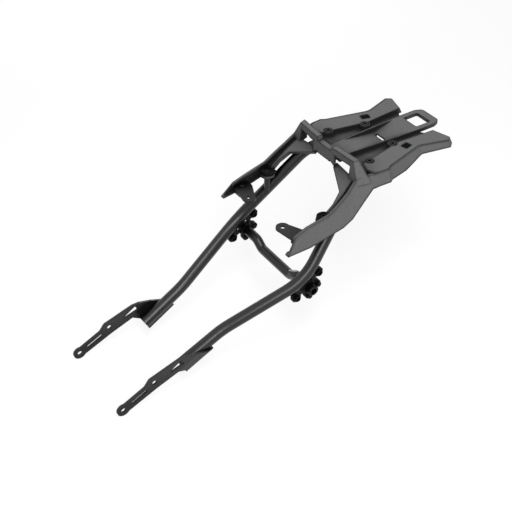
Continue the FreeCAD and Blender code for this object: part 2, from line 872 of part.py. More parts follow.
def add_trench_floor(body):
    """The floor that joins the wing's inner wall to the spine's rail."""
    floor = new_sketch(body, "trench_floor", "XY_Plane", "Sizes.deck_top - Sizes.inner_wall_depth")
    rail = "Sizes.rail_width / 2"
    wall = "Sizes.skirt_wall / 2"
    add_outline(floor, [
        (f"Sizes.spine_front_half_width - {rail}", "Sizes.wing_front_y"),
        (f"Sizes.wing_front_inner_x + {wall}", "Sizes.wing_front_y"),
        (f"Sizes.wing_inner_x + {wall}", "Sizes.wing_inner_y"),
        (f"Sizes.wing_tail_x + {wall}", "Sizes.wing_tail_y"),
        (f"Sizes.spine_tail_half_width - {rail}", "Sizes.spine_tail_y"),
    ])
    pad(body, floor, "Sizes.trench_floor_wall")


def add_screw_seats(body):
    """Round columns under the screws and the rims that carry them out past the wing's inner edge."""
    seats = new_sketch(body, "screw_seats", "XY_Plane", "Sizes.deck_top")
    for name in ("front", "rear"):
        place = (f"Sizes.{name}_screw_x", f"Sizes.{name}_screw_y")
        add_circle(seats, place, "Sizes.screw_seat_diameter / 2")
    pad(body, seats, "Sizes.inner_wall_depth", reverse=True)


def add_spine(body):
    """Half of the centre spine: two rails beside a dipped floor, and the tail loop."""
    rail_low = "Sizes.deck_top - Sizes.inner_wall_depth"
    block = new_sketch(body, "spine_plan", "XY_Plane", rail_low)
    add_outline(block, [
        ("0", "Sizes.spine_front_y"),
        ("Sizes.spine_front_half_width", "Sizes.spine_front_y"),
        ("Sizes.spine_tail_half_width", "Sizes.spine_tail_y"),
        ("0", "Sizes.spine_tail_y"),
    ])
    pad(body, block, "Sizes.inner_wall_depth")
    dip = new_sketch(body, "spine_dip", "YZ_Plane")
    add_outline(dip, [
        ("Sizes.dip_start_y", "Sizes.deck_top"),
        ("Sizes.dip_y", "Sizes.dip_z"),
        ("Sizes.dip_end_y", "Sizes.deck_top"),
    ])
    pocket(body, dip, "Sizes.spine_tail_half_width", reverse=True)
    under = new_sketch(body, "spine_underside", "YZ_Plane")
    add_outline(under, [
        ("Sizes.floor_front_y", rail_low),
        ("Sizes.floor_front_y", "Sizes.deck_top - Sizes.floor_wall"),
        ("Sizes.dip_start_y", "Sizes.deck_top - Sizes.floor_wall"),
        ("Sizes.dip_y - Sizes.slit_width", rail_low),
    ])
    add_outline(under, [
        ("Sizes.dip_y + Sizes.slit_width", rail_low),
        ("Sizes.dip_end_y", "Sizes.deck_top - Sizes.floor_wall - Sizes.tail_drop"),
        ("Sizes.dip_end_y", rail_low),
    ])
    pocket(body, under, "Sizes.spine_tail_half_width", reverse=True)
    rail = new_sketch(body, "spine_rail", "XY_Plane", rail_low)
    add_outline(rail, [
        ("Sizes.spine_front_half_width - Sizes.rail_width", "Sizes.spine_front_y"),
        ("Sizes.spine_front_half_width", "Sizes.spine_front_y"),
        ("Sizes.spine_tail_half_width", "Sizes.spine_tail_y"),
        ("Sizes.spine_tail_half_width - Sizes.rail_width", "Sizes.spine_tail_y"),
    ])
    pad(body, rail, "Sizes.inner_wall_depth")
    slit = new_sketch(body, "spine_slit", "XY_Plane", "Sizes.deck_top")
    add_outline(slit, [
        ("0", "Sizes.dip_y - Sizes.slit_width / 2"),
        ("Sizes.slit_half_length", "Sizes.dip_y - Sizes.slit_width / 2"),
        ("Sizes.slit_half_length", "Sizes.dip_y + Sizes.slit_width / 2"),
        ("0", "Sizes.dip_y + Sizes.slit_width / 2"),
    ])
    pocket(body, slit, "2 * Sizes.inner_wall_depth")
    tail = new_sketch(body, "tail_plan", "XY_Plane", "Sizes.deck_top - Sizes.tail_depth")
    add_outline(tail, [
        ("0", "Sizes.dip_end_y"),
        ("Sizes.loop_half_width", "Sizes.dip_end_y"),
        ("Sizes.spine_tail_half_width", "Sizes.spine_tail_y"),
        ("Sizes.spine_tail_half_width", "Sizes.tail_corner_y"),
        ("Sizes.tail_end_half_width", "Sizes.tail_end_y"),
        ("0", "Sizes.tail_end_y"),
    ], {3: "Sizes.tail_round", 4: "Sizes.tail_round"})
    pad(body, tail, "Sizes.tail_depth")
    loop = new_sketch(body, "tail_loop", "XY_Plane", "Sizes.deck_top")
    add_outline(loop, [
        ("0", "Sizes.spine_tail_y"),
        ("Sizes.loop_half_width", "Sizes.spine_tail_y"),
        ("Sizes.loop_half_width", "Sizes.loop_rear_y"),
        ("0", "Sizes.loop_rear_y"),
    ], {1: "Sizes.loop_round", 2: "Sizes.loop_round"})
    pocket(body, loop, "2 * Sizes.inner_wall_depth")
    fall = new_sketch(body, "spine_fall", "YZ_Plane")
    add_outline(fall, [
        ("Sizes.floor_front_y", "Sizes.deck_top"),
        ("Sizes.tail_end_y + Sizes.rail_width", "Sizes.deck_top - Sizes.tail_drop"),
        ("Sizes.tail_end_y + Sizes.rail_width", "Sizes.deck_top + Sizes.tail_drop"),
        ("Sizes.floor_front_y", "Sizes.deck_top + Sizes.tail_drop"),
    ])
    pocket(body, fall, "Sizes.spine_tail_half_width + Sizes.edge_round", reverse=True)


def bridge_section(body, name, across, top, sweep):
    """A section of the bridge's bar at a distance from the mid-plane."""
    sketch = new_sketch(body, name, "YZ_Plane", across)
    front = f"Sizes.bridge_front_y + {sweep}"
    low = "Sizes.bridge_top - Sizes.bridge_depth"
    add_outline(sketch, [
        (front, low),
        (front, top),
        (f"{front} + Sizes.bridge_width", top),
        (f"{front} + Sizes.bridge_width", low),
    ])
    return sketch


def add_bridge(body):
    """Half of the raised bridge: a bar with a saddle, a centre panel and the pillar at its end."""
    ramp_end = "Sizes.saddle_half_width + Sizes.saddle_ramp"
    sections = [
        bridge_section(body, "bridge_middle", "0", "Sizes.saddle_top", "0"),
        bridge_section(body, "bridge_saddle", "Sizes.saddle_half_width", "Sizes.saddle_top", "0"),
        bridge_section(body, "bridge_ramp", ramp_end, "Sizes.bridge_top", "0"),
        bridge_section(body, "bridge_end", "Sizes.bridge_half_length", "Sizes.bridge_top",
                       "Sizes.bridge_sweep"),
    ]
    loft(body, "bridge_bar", sections)
    panel = new_sketch(body, "bridge_panel", "XZ_Plane", "-Sizes.bridge_front_y")
    bar_low = "Sizes.bridge_top - Sizes.bridge_depth"
    add_outline(panel, [
        ("0", "Sizes.panel_bottom"),
        ("Sizes.saddle_half_width", "Sizes.panel_bottom"),
        ("Sizes.panel_half_width", "Sizes.panel_corner_z"),
        ("Sizes.panel_half_width", f"{bar_low} + Sizes.edge_round"),
        ("0", f"{bar_low} + Sizes.edge_round"),
    ])
    pad(body, panel, "Sizes.panel_gauge", reverse=True)
    neck = new_sketch(body, "bridge_neck", "XY_Plane", "Sizes.deck_top")
    add_outline(neck, [
        ("0", "Sizes.bridge_front_y"),
        ("Sizes.saddle_half_width", "Sizes.bridge_front_y"),
        ("Sizes.spine_front_half_width", "Sizes.spine_front_y"),
        ("Sizes.spine_front_half_width", "Sizes.floor_front_y"),
        ("0", "Sizes.floor_front_y"),
    ])
    pad(body, neck, "Sizes.neck_depth", reverse=True)
    foot = new_sketch(body, "pillar_foot", "XY_Plane", "Sizes.deck_top - Sizes.inner_wall_depth")
    add_outline(foot, [
        ("Sizes.bridge_half_length - Sizes.pillar_wall", "Sizes.bridge_front_y"),
        ("Sizes.band_crest_ridge_x + Sizes.band_wall", "Sizes.bridge_front_y"),
        ("Sizes.band_root_edge_x - Sizes.band_top_lip", "Sizes.band_root_y"),
        ("Sizes.bridge_half_length + Sizes.edge_round", "Sizes.spine_front_y"),
    ])
    head = new_sketch(body, "pillar_head", "XY_Plane", "Sizes.bridge_top")
    inner_x = "Sizes.bridge_half_length - Sizes.pillar_wall"
    rear_y = "Sizes.bridge_front_y + Sizes.bridge_sweep + Sizes.bridge_width"
    add_outline(head, [
        (inner_x, "Sizes.bridge_front_y + Sizes.bridge_sweep"),
        ("Sizes.bridge_half_length", "Sizes.bridge_front_y + Sizes.bridge_sweep"),
        ("Sizes.bridge_half_length + Sizes.bridge_sweep", rear_y),
        (inner_x, rear_y),
    ])
    loft(body, "pillar", [foot, head])


def web_sketch(body, name, drop):
    """A sketch in the web's slope, sunk below it by a distance."""
    sketch = new_sketch(body, name, "XY_Plane")
    sketch.setExpression(".AttachmentOffset.Base.z", None)
    turn = Rotation(Vector(1, 0, 0), size("web_slope"))
    top = Vector(0, size("web_top_y"), size("web_top_z"))
    sketch.AttachmentOffset = Placement(top - turn.multVec(Vector(0, 0, drop)), turn)
    return sketch


def web_places(outer):
    """Corners of the web's plan in its slope, its outer side at an offset from the band's ridge."""
    def down(place):
        return f"({place} - Sizes.web_top_y) / cos(Sizes.web_slope)"

    inner_x = "Sizes.panel_half_width - Sizes.panel_gauge"
    places = [
        (inner_x, down("Sizes.bridge_front_y")),
        ("Sizes.web_mid_x", down("Sizes.web_mid_y")),
        ("Sizes.web_low_x", down("Sizes.web_low_y")),
        ("Sizes.web_low_x", down("Sizes.web_end_y")),
        (f"Sizes.band_knee_ridge_x + {outer}", down("Sizes.web_end_y")),
    ]
    for station in ("rise", "climb", "crest"):
        places.append((f"Sizes.band_{station}_ridge_x + {outer}", down(f"Sizes.band_{station}_y")))
    places.append((inner_x, down("Sizes.web_top_y")))
    return places


def add_web(body):
    """The sloping plate from the bridge down to the handle's inner lug, with a trough along the band."""
    slope = web_sketch(body, "web_plan", 0)
    add_outline(slope, web_places("(-Sizes.band_top_lip - Sizes.web_gap)"))
    pad(body, slope, "Sizes.web_wall", reverse=True)
    floor = web_sketch(body, "web_floor", size("web_wall") - size("edge_round"))
    add_outline(floor, web_places("2 * Sizes.edge_round"))
    pad(body, floor, "Sizes.web_floor_wall", reverse=True)
    lug = new_sketch(body, "handle_lug", "XY_Plane", "Sizes.lug_top")
    add_circle(lug, ("Sizes.post_x", "Sizes.post_y"), "Sizes.lug_radius")
    pad(body, lug, "Sizes.lug_wall", reverse=True)
    root = new_sketch(body, "lug_root", "XY_Plane", "Sizes.lug_top")
    wall_x = "(Sizes.band_knee_ridge_x + Sizes.band_knee_edge_x) / 2 - Sizes.edge_round"
    add_outline(root, [
        ("Sizes.web_low_x", "Sizes.post_y"),
        (wall_x, "Sizes.post_y"),
        (wall_x, "Sizes.web_end_y + Sizes.lug_radius"),
        ("Sizes.web_low_x", "Sizes.web_end_y + Sizes.lug_radius"),
    ])
    pad(body, root, "Sizes.lug_wall", reverse=True)


def band_section(body, station):
    """A section of the handle's band: a sloping wall with a short lip above and a long one below."""
    ridge_x = f"Sizes.band_{station}_ridge_x"
    ridge_z = f"Sizes.band_{station}_ridge_z"
    edge_x = f"Sizes.band_{station}_edge_x"
    edge_z = f"Sizes.band_{station}_edge_z"
    sketch = new_sketch(body, f"band_{station}", "XZ_Plane", f"-Sizes.band_{station}_y")
    add_outline(sketch, [
        (ridge_x, ridge_z),
        (edge_x, edge_z),
        (f"{edge_x} - Sizes.band_low_lip", edge_z),
        (f"{edge_x} - Sizes.band_low_lip", f"{edge_z} + Sizes.band_wall"),
        (f"{edge_x} - Sizes.band_low_set", f"{edge_z} + Sizes.band_wall"),
        (f"{ridge_x} - Sizes.band_top_set", f"{ridge_z} - Sizes.band_wall"),
        (f"{ridge_x} - Sizes.band_top_lip", f"{ridge_z} - Sizes.band_wall"),
        (f"{ridge_x} - Sizes.band_top_lip", ridge_z),
    ])
    return sketch


def handle_band():
    """The handle's band, with its front end cut off at a slant."""
    body = new_body("left_handle_band")
    loft(body, "band", [band_section(body, station) for station in BAND_STATIONS])
    nose = new_sketch(body, "band_end", "YZ_Plane")
    rise = "(Sizes.handle_end_top_z - Sizes.handle_end_low_z)"
    run = "(Sizes.handle_end_top_y - Sizes.handle_end_low_y)"
    reach_y = f"Sizes.handle_end_low_y - 2 * {run}"
    add_outline(nose, [
        (f"Sizes.handle_end_low_y - {run}", f"Sizes.handle_end_low_z - {rise}"),
        (f"Sizes.handle_end_top_y + {run}", f"Sizes.handle_end_top_z + {rise}"),
        (reach_y, f"Sizes.handle_end_top_z + {rise}"),
        (reach_y, f"Sizes.handle_end_low_z - {rise}"),
    ])
    pocket(body, nose, "4 * Sizes.band_nose_edge_x", midplane=True)
    return body


def add_ledge(body):
    """The ledge inside the handle that the seat tab rests on."""
    ledge = new_sketch(body, "tab_ledge", "XY_Plane", "Sizes.tab_top - Sizes.tab_gauge")
    add_outline(ledge, [
        ("Sizes.ledge_inner_x", "Sizes.tab_screw_y - Sizes.ledge_depth"),
        ("Sizes.band_grip_edge_x - Sizes.band_low_lip", "Sizes.tab_root_front_y + Sizes.band_wall"),
        ("Sizes.band_grip_edge_x - Sizes.band_low_lip", "Sizes.tab_root_rear_y"),
        ("Sizes.ledge_inner_x", "Sizes.tab_root_rear_y"),
    ])
    pad(body, ledge, "Sizes.ledge_depth", reverse=True)


def rack_holes():
    """Holes for the screws and bolts, to be cut from the left half of the moulding."""
    pieces = []
    for name in ("front", "rear"):
        place = Vector(size(f"{name}_screw_x"), size(f"{name}_screw_y"), 0)
        pieces.append(cylinder(f"{name}_screw_hole", "(Sizes.screw_diameter + Sizes.screw_clearance) / 2",
                               "Sizes.deck_top", place + Vector(0, 0, size("screw_length"))))
        recess = place + Vector(0, 0, size("deck_top") - size("screw_recess_depth"))
        pieces.append(cylinder(f"{name}_screw_recess", "Sizes.screw_recess_diameter / 2",
                               "Sizes.screw_recess_depth + Sizes.deck_wall", recess))
    clearance = "(Sizes.handle_bolt_diameter + Sizes.screw_clearance) / 2"
    pieces.append(cylinder("handle_bolt_hole", clearance, "4 * Sizes.lug_wall",
                           Vector(size("post_x"), size("post_y"), size("lug_top") - 2 * size("lug_wall"))))
    pieces.append(cylinder("handle_bush_room", "Sizes.bush_diameter / 2 + Sizes.screw_clearance",
                           "Sizes.bush_height + Sizes.screw_clearance",
                           Vector(size("post_x"), size("post_y"), size("lug_top"))))
    pieces.append(cylinder("tab_screw_hole", "Sizes.tab_screw_diameter / 2 + Sizes.thread_clearance",
                           "Sizes.ledge_depth",
                           Vector(size("tab_screw_x"), size("tab_screw_y"),
                                  size("tab_top") - size("tab_screw_length"))))
    return fuse("rack_holes", *pieces)


def rack_moulding():
    """The moulding, modelled as its left half and mirrored."""
    body = new_body("left_rack_half")
    add_wing(body)
    add_strap_recess(body)
    add_screw_seats(body)
    add_spine(body)
    add_trench_floor(body)
    add_bridge(body)
    add_web(body)
    ledge = new_body("left_tab_ledge")
    add_ledge(ledge)
    half = fuse("left_half_solid", body, handle_band(), ledge)
    left = cut("left_half", half, rack_holes())
    return fuse("rack_moulding", left, mirror("right_half", left))


# Fasteners and small pieces


def revolved(label, places, place, axis):
    """A turned piece: a half section, radius and height, turned about an axis through a place."""
    body = new_body(label)
    sketch = new_sketch(body, label + "_section", "XZ_Plane")
    add_outline(sketch, places)
    turn = body.newObject("PartDesign::Revolution", label + "_turn")
    turn.Profile = sketch
    turn.ReferenceAxis = (sketch, ["V_Axis"])
    turn.Angle = 360
    body.Placement = Placement(place, Rotation(Vector(0, 0, 1), axis))
    doc.recompute()
    return body


def screw(label, place, axis, shank, length, head, head_height, socket="Sizes.hex_socket"):
    """A round-headed screw with a socket, its head's underside at a place and its head along an axis."""
    body = revolved(label, [
        ("0", f"-{length}"),
        (f"{shank} / 2", f"-{length}"),
        (f"{shank} / 2", "0"),
        (f"{head} / 2", "0"),
        (f"{head} / 2", f"{head_height} - Sizes.head_crown"),
        (f"{head} / 2 - Sizes.head_crown", head_height),
        ("0", head_height),
    ], place, axis)
    drive = new_sketch(body, label + "_socket", "XY_Plane", head_height)
    corners = []
    for step in range(6):
        corners.append((f"{socket} / sqrt(3) * cos({60 * step})", f"{socket} / sqrt(3) * sin({60 * step})"))
    add_outline(drive, corners)
    pocket(body, drive, f"{head_height} - Sizes.socket_floor")
    return body


def rack_screw(name):
    place = Vector(size(f"{name}_screw_x"), size(f"{name}_screw_y"),
                   size("deck_top") - size("screw_recess_depth"))
    left = screw(f"left_{name}_rack_screw", place, Vector(0, 0, 1), "Sizes.screw_diameter",
                 "Sizes.screw_length", "Sizes.screw_head_diameter", "Sizes.screw_head_height")
    return group(f"{name}_rack_screws", left)


def group(label, left):
    """A piece and its mirror image as one node of two solids."""
    feature = doc.addObject("Part::Compound", label)
    feature.Label = label
    feature.Links = [left, mirror(label + "_mirrored", left)]
    return feature


def tube_boss(name, rod):
    """The tapped bosses that stand on the tubes under the moulding's screw seats."""
    low = size("tube_rise_z")
    place = Vector(size(f"{name}_screw_x"), size(f"{name}_screw_y"), low)
    height = "Sizes.deck_top - Sizes.inner_wall_depth - Sizes.tube_rise_z"
    post = cylinder(f"{name}_boss_post", "Sizes.boss_diameter / 2", height, place)
    tap = cylinder(f"{name}_boss_tap", "Sizes.screw_diameter / 2 + Sizes.thread_clearance", height, place)
    bored = cut(f"{name}_boss_bored", post, tap)
    return group(f"{name}_tube_bosses", cut(f"left_{name}_boss", bored, rod))


def tube_screw_holes():
    """Holes through the tubes' upper walls that give the rack screws room."""
    pieces = []
    for name in ("front", "rear"):
        place = Vector(size(f"{name}_screw_x"), size(f"{name}_screw_y"), size("tube_rise_z"))
        pieces.append(cylinder(f"{name}_tube_hole", "Sizes.screw_diameter / 2 + Sizes.screw_clearance",
                               "Sizes.tube_diameter", place))
    return fuse("tube_screw_holes", *pieces)


def handle_fixing(rod):
    """The post on the tube, the bush on the handle's lug and the bolt through both."""
    under = size("lug_top") - size("lug_wall")
    corners = tube_corners()
    share = (size("post_y") - corners[2].y) / (corners[3].y - corners[2].y)
    foot = corners[2].z + share * (corners[3].z - corners[2].z)
    post = doc.addObject("Part::Cylinder", "handle_post_rod")
    bind(post, Radius="Sizes.post_diameter / 2")
    post.Height = under - foot
    post.Placement = Placement(Vector(size("post_x"), size("post_y"), foot), Rotation())
    depth = "Sizes.handle_bolt_length"
    tap_place = Vector(size("post_x"), size("post_y"),
                       size("lug_top") + size("bush_height") - size("handle_bolt_head_height")
                       - size("handle_bolt_length"))
    tap = cylinder("handle_post_tap", "Sizes.handle_bolt_diameter / 2 + Sizes.thread_clearance",
                   depth, tap_place)
    left_post = cut("left_handle_post", cut("handle_post_tapped", post, tap), rod)
    top = Vector(size("post_x"), size("post_y"), size("lug_top"))
    seat = "Sizes.bush_height - Sizes.handle_bolt_head_height"
    recess = "Sizes.handle_bolt_head_diameter / 2 + Sizes.screw_clearance"
    bore = "(Sizes.handle_bolt_diameter + Sizes.screw_clearance) / 2"
    bush = revolved("left_handle_bush", [
        (bore, "0"),
        ("Sizes.bush_diameter / 2", "0"),
        ("Sizes.bush_diameter / 2", "Sizes.bush_height - Sizes.edge_round"),
        ("Sizes.bush_diameter / 2 - Sizes.edge_round", "Sizes.bush_height"),
        (recess, "Sizes.bush_height"),
        (recess, seat),
        (bore, seat),
    ], top, Vector(0, 0, 1))
    bolt = screw("left_handle_bolt", top + Vector(0, 0, value(seat)), Vector(0, 0, 1),
                 "Sizes.handle_bolt_diameter", "Sizes.handle_bolt_length",
                 "Sizes.handle_bolt_head_diameter", "Sizes.handle_bolt_head_height")
    return left_post, bush, bolt


def seat_tab():
    """A flat plate from the ledge inside the handle to a round end with a hole."""
    body = new_body("left_seat_tab")
    outline = new_sketch(body, "tab_outline", "XY_Plane", "Sizes.tab_top")
    add_outline(outline, [
        ("Sizes.tab_hole_x", "Sizes.tab_hole_y - Sizes.tab_end_radius"),
        ("Sizes.tab_screw_x", "Sizes.tab_root_front_y"),
        ("Sizes.tab_root_x", "Sizes.tab_root_front_y + Sizes.band_wall"),
        ("Sizes.tab_root_x", "Sizes.tab_root_rear_y"),
        ("Sizes.ledge_inner_x", "Sizes.tab_root_rear_y"),
        ("Sizes.tab_hole_x", "Sizes.tab_hole_y + Sizes.tab_end_radius"),
    ])
    pad(body, outline, "Sizes.tab_gauge", reverse=True)
    end = new_sketch(body, "tab_end", "XY_Plane", "Sizes.tab_top")
    add_circle(end, ("Sizes.tab_hole_x", "Sizes.tab_hole_y"), "Sizes.tab_end_radius")
    pad(body, end, "Sizes.tab_gauge", reverse=True)
    holes = new_sketch(body, "tab_holes", "XY_Plane", "Sizes.tab_top")
    add_circle(holes, ("Sizes.tab_hole_x", "Sizes.tab_hole_y"), "Sizes.tab_hole / 2")
    add_circle(holes, ("Sizes.tab_screw_x", "Sizes.tab_screw_y"),
               "(Sizes.tab_screw_diameter + Sizes.screw_clearance) / 2")
    pocket(body, holes, "2 * Sizes.tab_gauge")
    place = Vector(size("tab_screw_x"), size("tab_screw_y"), size("tab_top"))
    tab_screw = screw("left_tab_screw", place, Vector(0, 0, 1), "Sizes.tab_screw_diameter",
                      "Sizes.tab_screw_length", "Sizes.tab_screw_head_diameter",
                      "Sizes.tab_screw_head_height", "Sizes.tab_screw_socket")
    return body, group("seat_tab_screws", tab_screw)


# Cross brace


def bolt_places():
    """Centres of the two flange bolts, as expressions in the bracket's plane."""
    places = []
    for sign in (1, -1):
        angle = f"(Sizes.flange_bolt_angle - {sign} * Sizes.flange_bolt_spread / 2)"
        places.append((f"Sizes.brace_y + Sizes.flange_bolt_offset * cos({angle})",
                       f"Sizes.brace_z + Sizes.flange_bolt_offset * sin({angle})"))
    return places


def ear_outline(sketch, places, radius):
    for place in places:
        add_circle(sketch, place, radius)


def brace_bracket(rod):
    """A scalloped plate whose upper edge fits the underside of the tube's main bend."""
    body = new_body("left_bracket_blank")
    web = new_sketch(body, "bracket_web", "YZ_Plane", "Sizes.bracket_x")
    add_outline(web, [
        ("Sizes.lower_lug_y", "Sizes.lower_lug_z"),
        ("Sizes.brace_y", "Sizes.brace_z"),
        ("Sizes.upper_lug_y", "Sizes.upper_lug_z"),
        ("Sizes.upper_lug_y - Sizes.bracket_lug_radius", "Sizes.upper_lug_z + 3 * Sizes.bracket_lug_radius"),
        ("Sizes.tube_bend_y", "Sizes.tube_bend_z"),
        ("Sizes.lower_lug_y - Sizes.bracket_lug_radius", "Sizes.lower_lug_z + 3 * Sizes.bracket_lug_radius"),
    ])
    pad(body, web, "Sizes.bracket_gauge", midplane=True)
    lobes = {
        "bracket_boss": ([("Sizes.brace_y", "Sizes.brace_z")], "Sizes.bracket_boss_radius"),
        "bracket_lugs": ([(f"Sizes.{name}_lug_y", f"Sizes.{name}_lug_z") for name in ("upper", "lower")],
                         "Sizes.bracket_lug_radius"),
    }
    for name, (places, radius) in lobes.items():
        lobe = new_sketch(body, name, "YZ_Plane", "Sizes.bracket_x")
        ear_outline(lobe, places, radius)
        pad(body, lobe, "Sizes.bracket_gauge", midplane=True)
    for index, place in enumerate(bolt_places()):
        ear = new_sketch(body, f"bracket_ear_{index}", "YZ_Plane", "Sizes.bracket_x")
        add_circle(ear, place, "Sizes.flange_ear_radius")
        pad(body, ear, "Sizes.bracket_gauge", midplane=True)
    holes = new_sketch(body, "bracket_holes", "YZ_Plane", "Sizes.bracket_x")
    ear_outline(holes, lobes["bracket_lugs"][0], "Sizes.bracket_bush_diameter / 2")
    ear_outline(holes, bolt_places(), "(Sizes.flange_bolt_diameter + Sizes.screw_clearance) / 2")
    gaps = [(f"Sizes.{name}_gap_y", f"Sizes.{name}_gap_z") for name in ("upper", "lower")]
    ear_outline(holes, gaps, "Sizes.bracket_gap / 2")
    add_circle(holes, ("Sizes.brace_y", "Sizes.brace_z"), "Sizes.carrier_bore / 2")
    pocket(body, holes, "2 * Sizes.bracket_gauge", midplane=True)
    return cut("left_brace_bracket", body, rod)


def bracket_bushes():
    pieces = []
    for name in ("upper", "lower"):
        place = Vector(size("bracket_x") - size("bracket_bush_length") / 2,
                       size(f"{name}_lug_y"), size(f"{name}_lug_z"))
        pieces.append(revolved(f"left_{name}_bush", [
            ("Sizes.bracket_bush_bore / 2", "0"),
            ("Sizes.bracket_bush_diameter / 2", "0"),
            ("Sizes.bracket_bush_diameter / 2", "Sizes.bracket_bush_length"),
            ("Sizes.bracket_bush_bore / 2", "Sizes.bracket_bush_length"),
        ], place, Vector(1, 0, 0)))
    return compound("left_bracket_bushes", pieces)


def compound(label, pieces):
    feature = doc.addObject("Part::Compound", label)
    feature.Label = label
    feature.Links = pieces
    return feature


def carrier_boss():
    """The turned boss on the bracket's outer face that takes a side carrier's bolt."""
    place = Vector(size("bracket_x") + size("bracket_gauge") / 2, size("brace_y"), size("brace_z"))
    return revolved("left_carrier_boss", [
        ("Sizes.carrier_bore / 2", "0"),
        ("Sizes.carrier_boss_diameter / 2", "0"),
        ("Sizes.carrier_boss_diameter / 2", "Sizes.carrier_boss_length - Sizes.edge_round"),
        ("Sizes.carrier_boss_diameter / 2 - Sizes.edge_round", "Sizes.carrier_boss_length"),
        ("Sizes.carrier_bore / 2", "Sizes.carrier_boss_length"),
    ], place, Vector(1, 0, 0))


def cross_brace():
    """The cross tube between the two flanges, dropped a little in the middle."""
    end_x = size("bracket_x") - size("bracket_gauge") / 2
    low = size("brace_z") - size("brace_drop")
    left = [
        Vector(end_x, size("brace_y"), size("brace_z")),
        Vector(size("brace_step_x"), size("brace_y"), size("brace_z")),
        Vector(size("brace_flat_x"), size("brace_y"), low),
    ]
    right = [Vector(-place.x, place.y, place.z) for place in reversed(left)]
    radii = [size("brace_bend_radius")] * 4
    return bent_tube("cross_brace", left + right, radii, "Sizes.brace_diameter", "Sizes.brace_wall")[0]


def brace_flange():
    """The collar on the cross tube's end, with two ears for its bolts."""
    body = new_body("left_brace_flange")
    middle_x = "Sizes.bracket_x - Sizes.bracket_gauge / 2 - Sizes.flange_gauge / 2"
    ring = new_sketch(body, "flange_ring", "YZ_Plane", middle_x)
    add_circle(ring, ("Sizes.brace_y", "Sizes.brace_z"), "Sizes.bracket_boss_radius")
    pad(body, ring, "Sizes.flange_gauge", midplane=True)
    for index, place in enumerate(bolt_places()):
        ear = new_sketch(body, f"flange_ear_{index}", "YZ_Plane", middle_x)
        add_circle(ear, place, "Sizes.flange_ear_radius")
        pad(body, ear, "Sizes.flange_gauge", midplane=True)
    holes = new_sketch(body, "flange_holes", "YZ_Plane", middle_x)
    add_circle(holes, ("Sizes.brace_y", "Sizes.brace_z"), "Sizes.brace_diameter / 2")
    ear_outline(holes, bolt_places(), "(Sizes.flange_bolt_diameter + Sizes.screw_clearance) / 2")
    pocket(body, holes, "2 * Sizes.flange_gauge", midplane=True)
    return body


def flange_fasteners():
    """Bolts from the inside of the flanges and nuts outside the brackets."""
    inner_x = size("bracket_x") - size("bracket_gauge") / 2 - size("flange_gauge")
    outer_x = size("bracket_x") + size("bracket_gauge") / 2
    length = "(Sizes.flange_gauge + Sizes.bracket_gauge + Sizes.flange_nut_height + Sizes.edge_round)"
    bolts = []
    nuts = []
    for index, (along_rack, up) in enumerate(bolt_places()):
        place = Vector(inner_x, value(along_rack), value(up))
        bolts.append(screw(f"left_flange_bolt_{index}", place, Vector(-1, 0, 0), "Sizes.flange_bolt_diameter",
                           length, "Sizes.flange_bolt_head", "Sizes.flange_bolt_head_height",
                           "Sizes.flange_bolt_socket"))
        nuts.append(hex_nut(f"left_flange_nut_{index}", Vector(outer_x, place.y, place.z)))
    return compound("left_brace_bolts", bolts), compound("left_brace_nuts", nuts)


def hex_nut(label, place):
    body = new_body(label)
    plan = new_sketch(body, label + "_plan", "XY_Plane")
    corners = []
    for step in range(6):
        corners.append((f"Sizes.flange_bolt_head / sqrt(3) * cos({60 * step})",
                        f"Sizes.flange_bolt_head / sqrt(3) * sin({60 * step})"))
    add_outline(plan, corners)
    pad(body, plan, "Sizes.flange_nut_height")
    bore = new_sketch(body, label + "_bore", "XY_Plane", "Sizes.flange_nut_height")
    add_circle(bore, ("0", "0"), "Sizes.flange_bolt_diameter / 2 + Sizes.thread_clearance")
    pocket(body, bore, "2 * Sizes.flange_nut_height")
    body.Placement = Placement(place, Rotation(Vector(0, 0, 1), Vector(1, 0, 0)))
    return body


def build():
    """Make every piece and return those that are written to files."""
    tube, rod = main_tube()
    left_tube = cut("left_main_tube", tube, tube_screw_holes())
    post, bush, bolt = handle_fixing(rod)
    tab, tab_screws = seat_tab()
    bolts, nuts = flange_fasteners()
    lefts = [left_tube, front_plate(), post, bush, bolt, tab, brace_bracket(rod), bracket_bushes(),
             carrier_boss(), brace_flange(), bolts, nuts]
    nodes = [rack_moulding(), cross_brace(), tab_screws]
    for name in ("front", "rear"):
        nodes.append(tube_boss(name, rod))
        nodes.append(rack_screw(name))
    for left in lefts:
        nodes.append(left)
        nodes.append(mirror(left.Label.replace("left", "right", 1), left))
    return nodes


def write(nodes):
    """Check the document and write each piece to its own file."""
    doc.recompute()
    failed = [item.Label for item in doc.Objects if {"Invalid", "Error"} & set(item.State)]
    if failed:
        raise RuntimeError(f"failed: {failed}")
    for node in nodes:
        if node.Shape.isNull() or not node.Shape.isValid():
            raise RuntimeError(f"{node.Label} has no valid shape")
    os.makedirs("parts", exist_ok=True)
    for node in nodes:
        node.Shape.exportStep(f"parts/{node.Label}.step")


write(build())
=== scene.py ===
import math

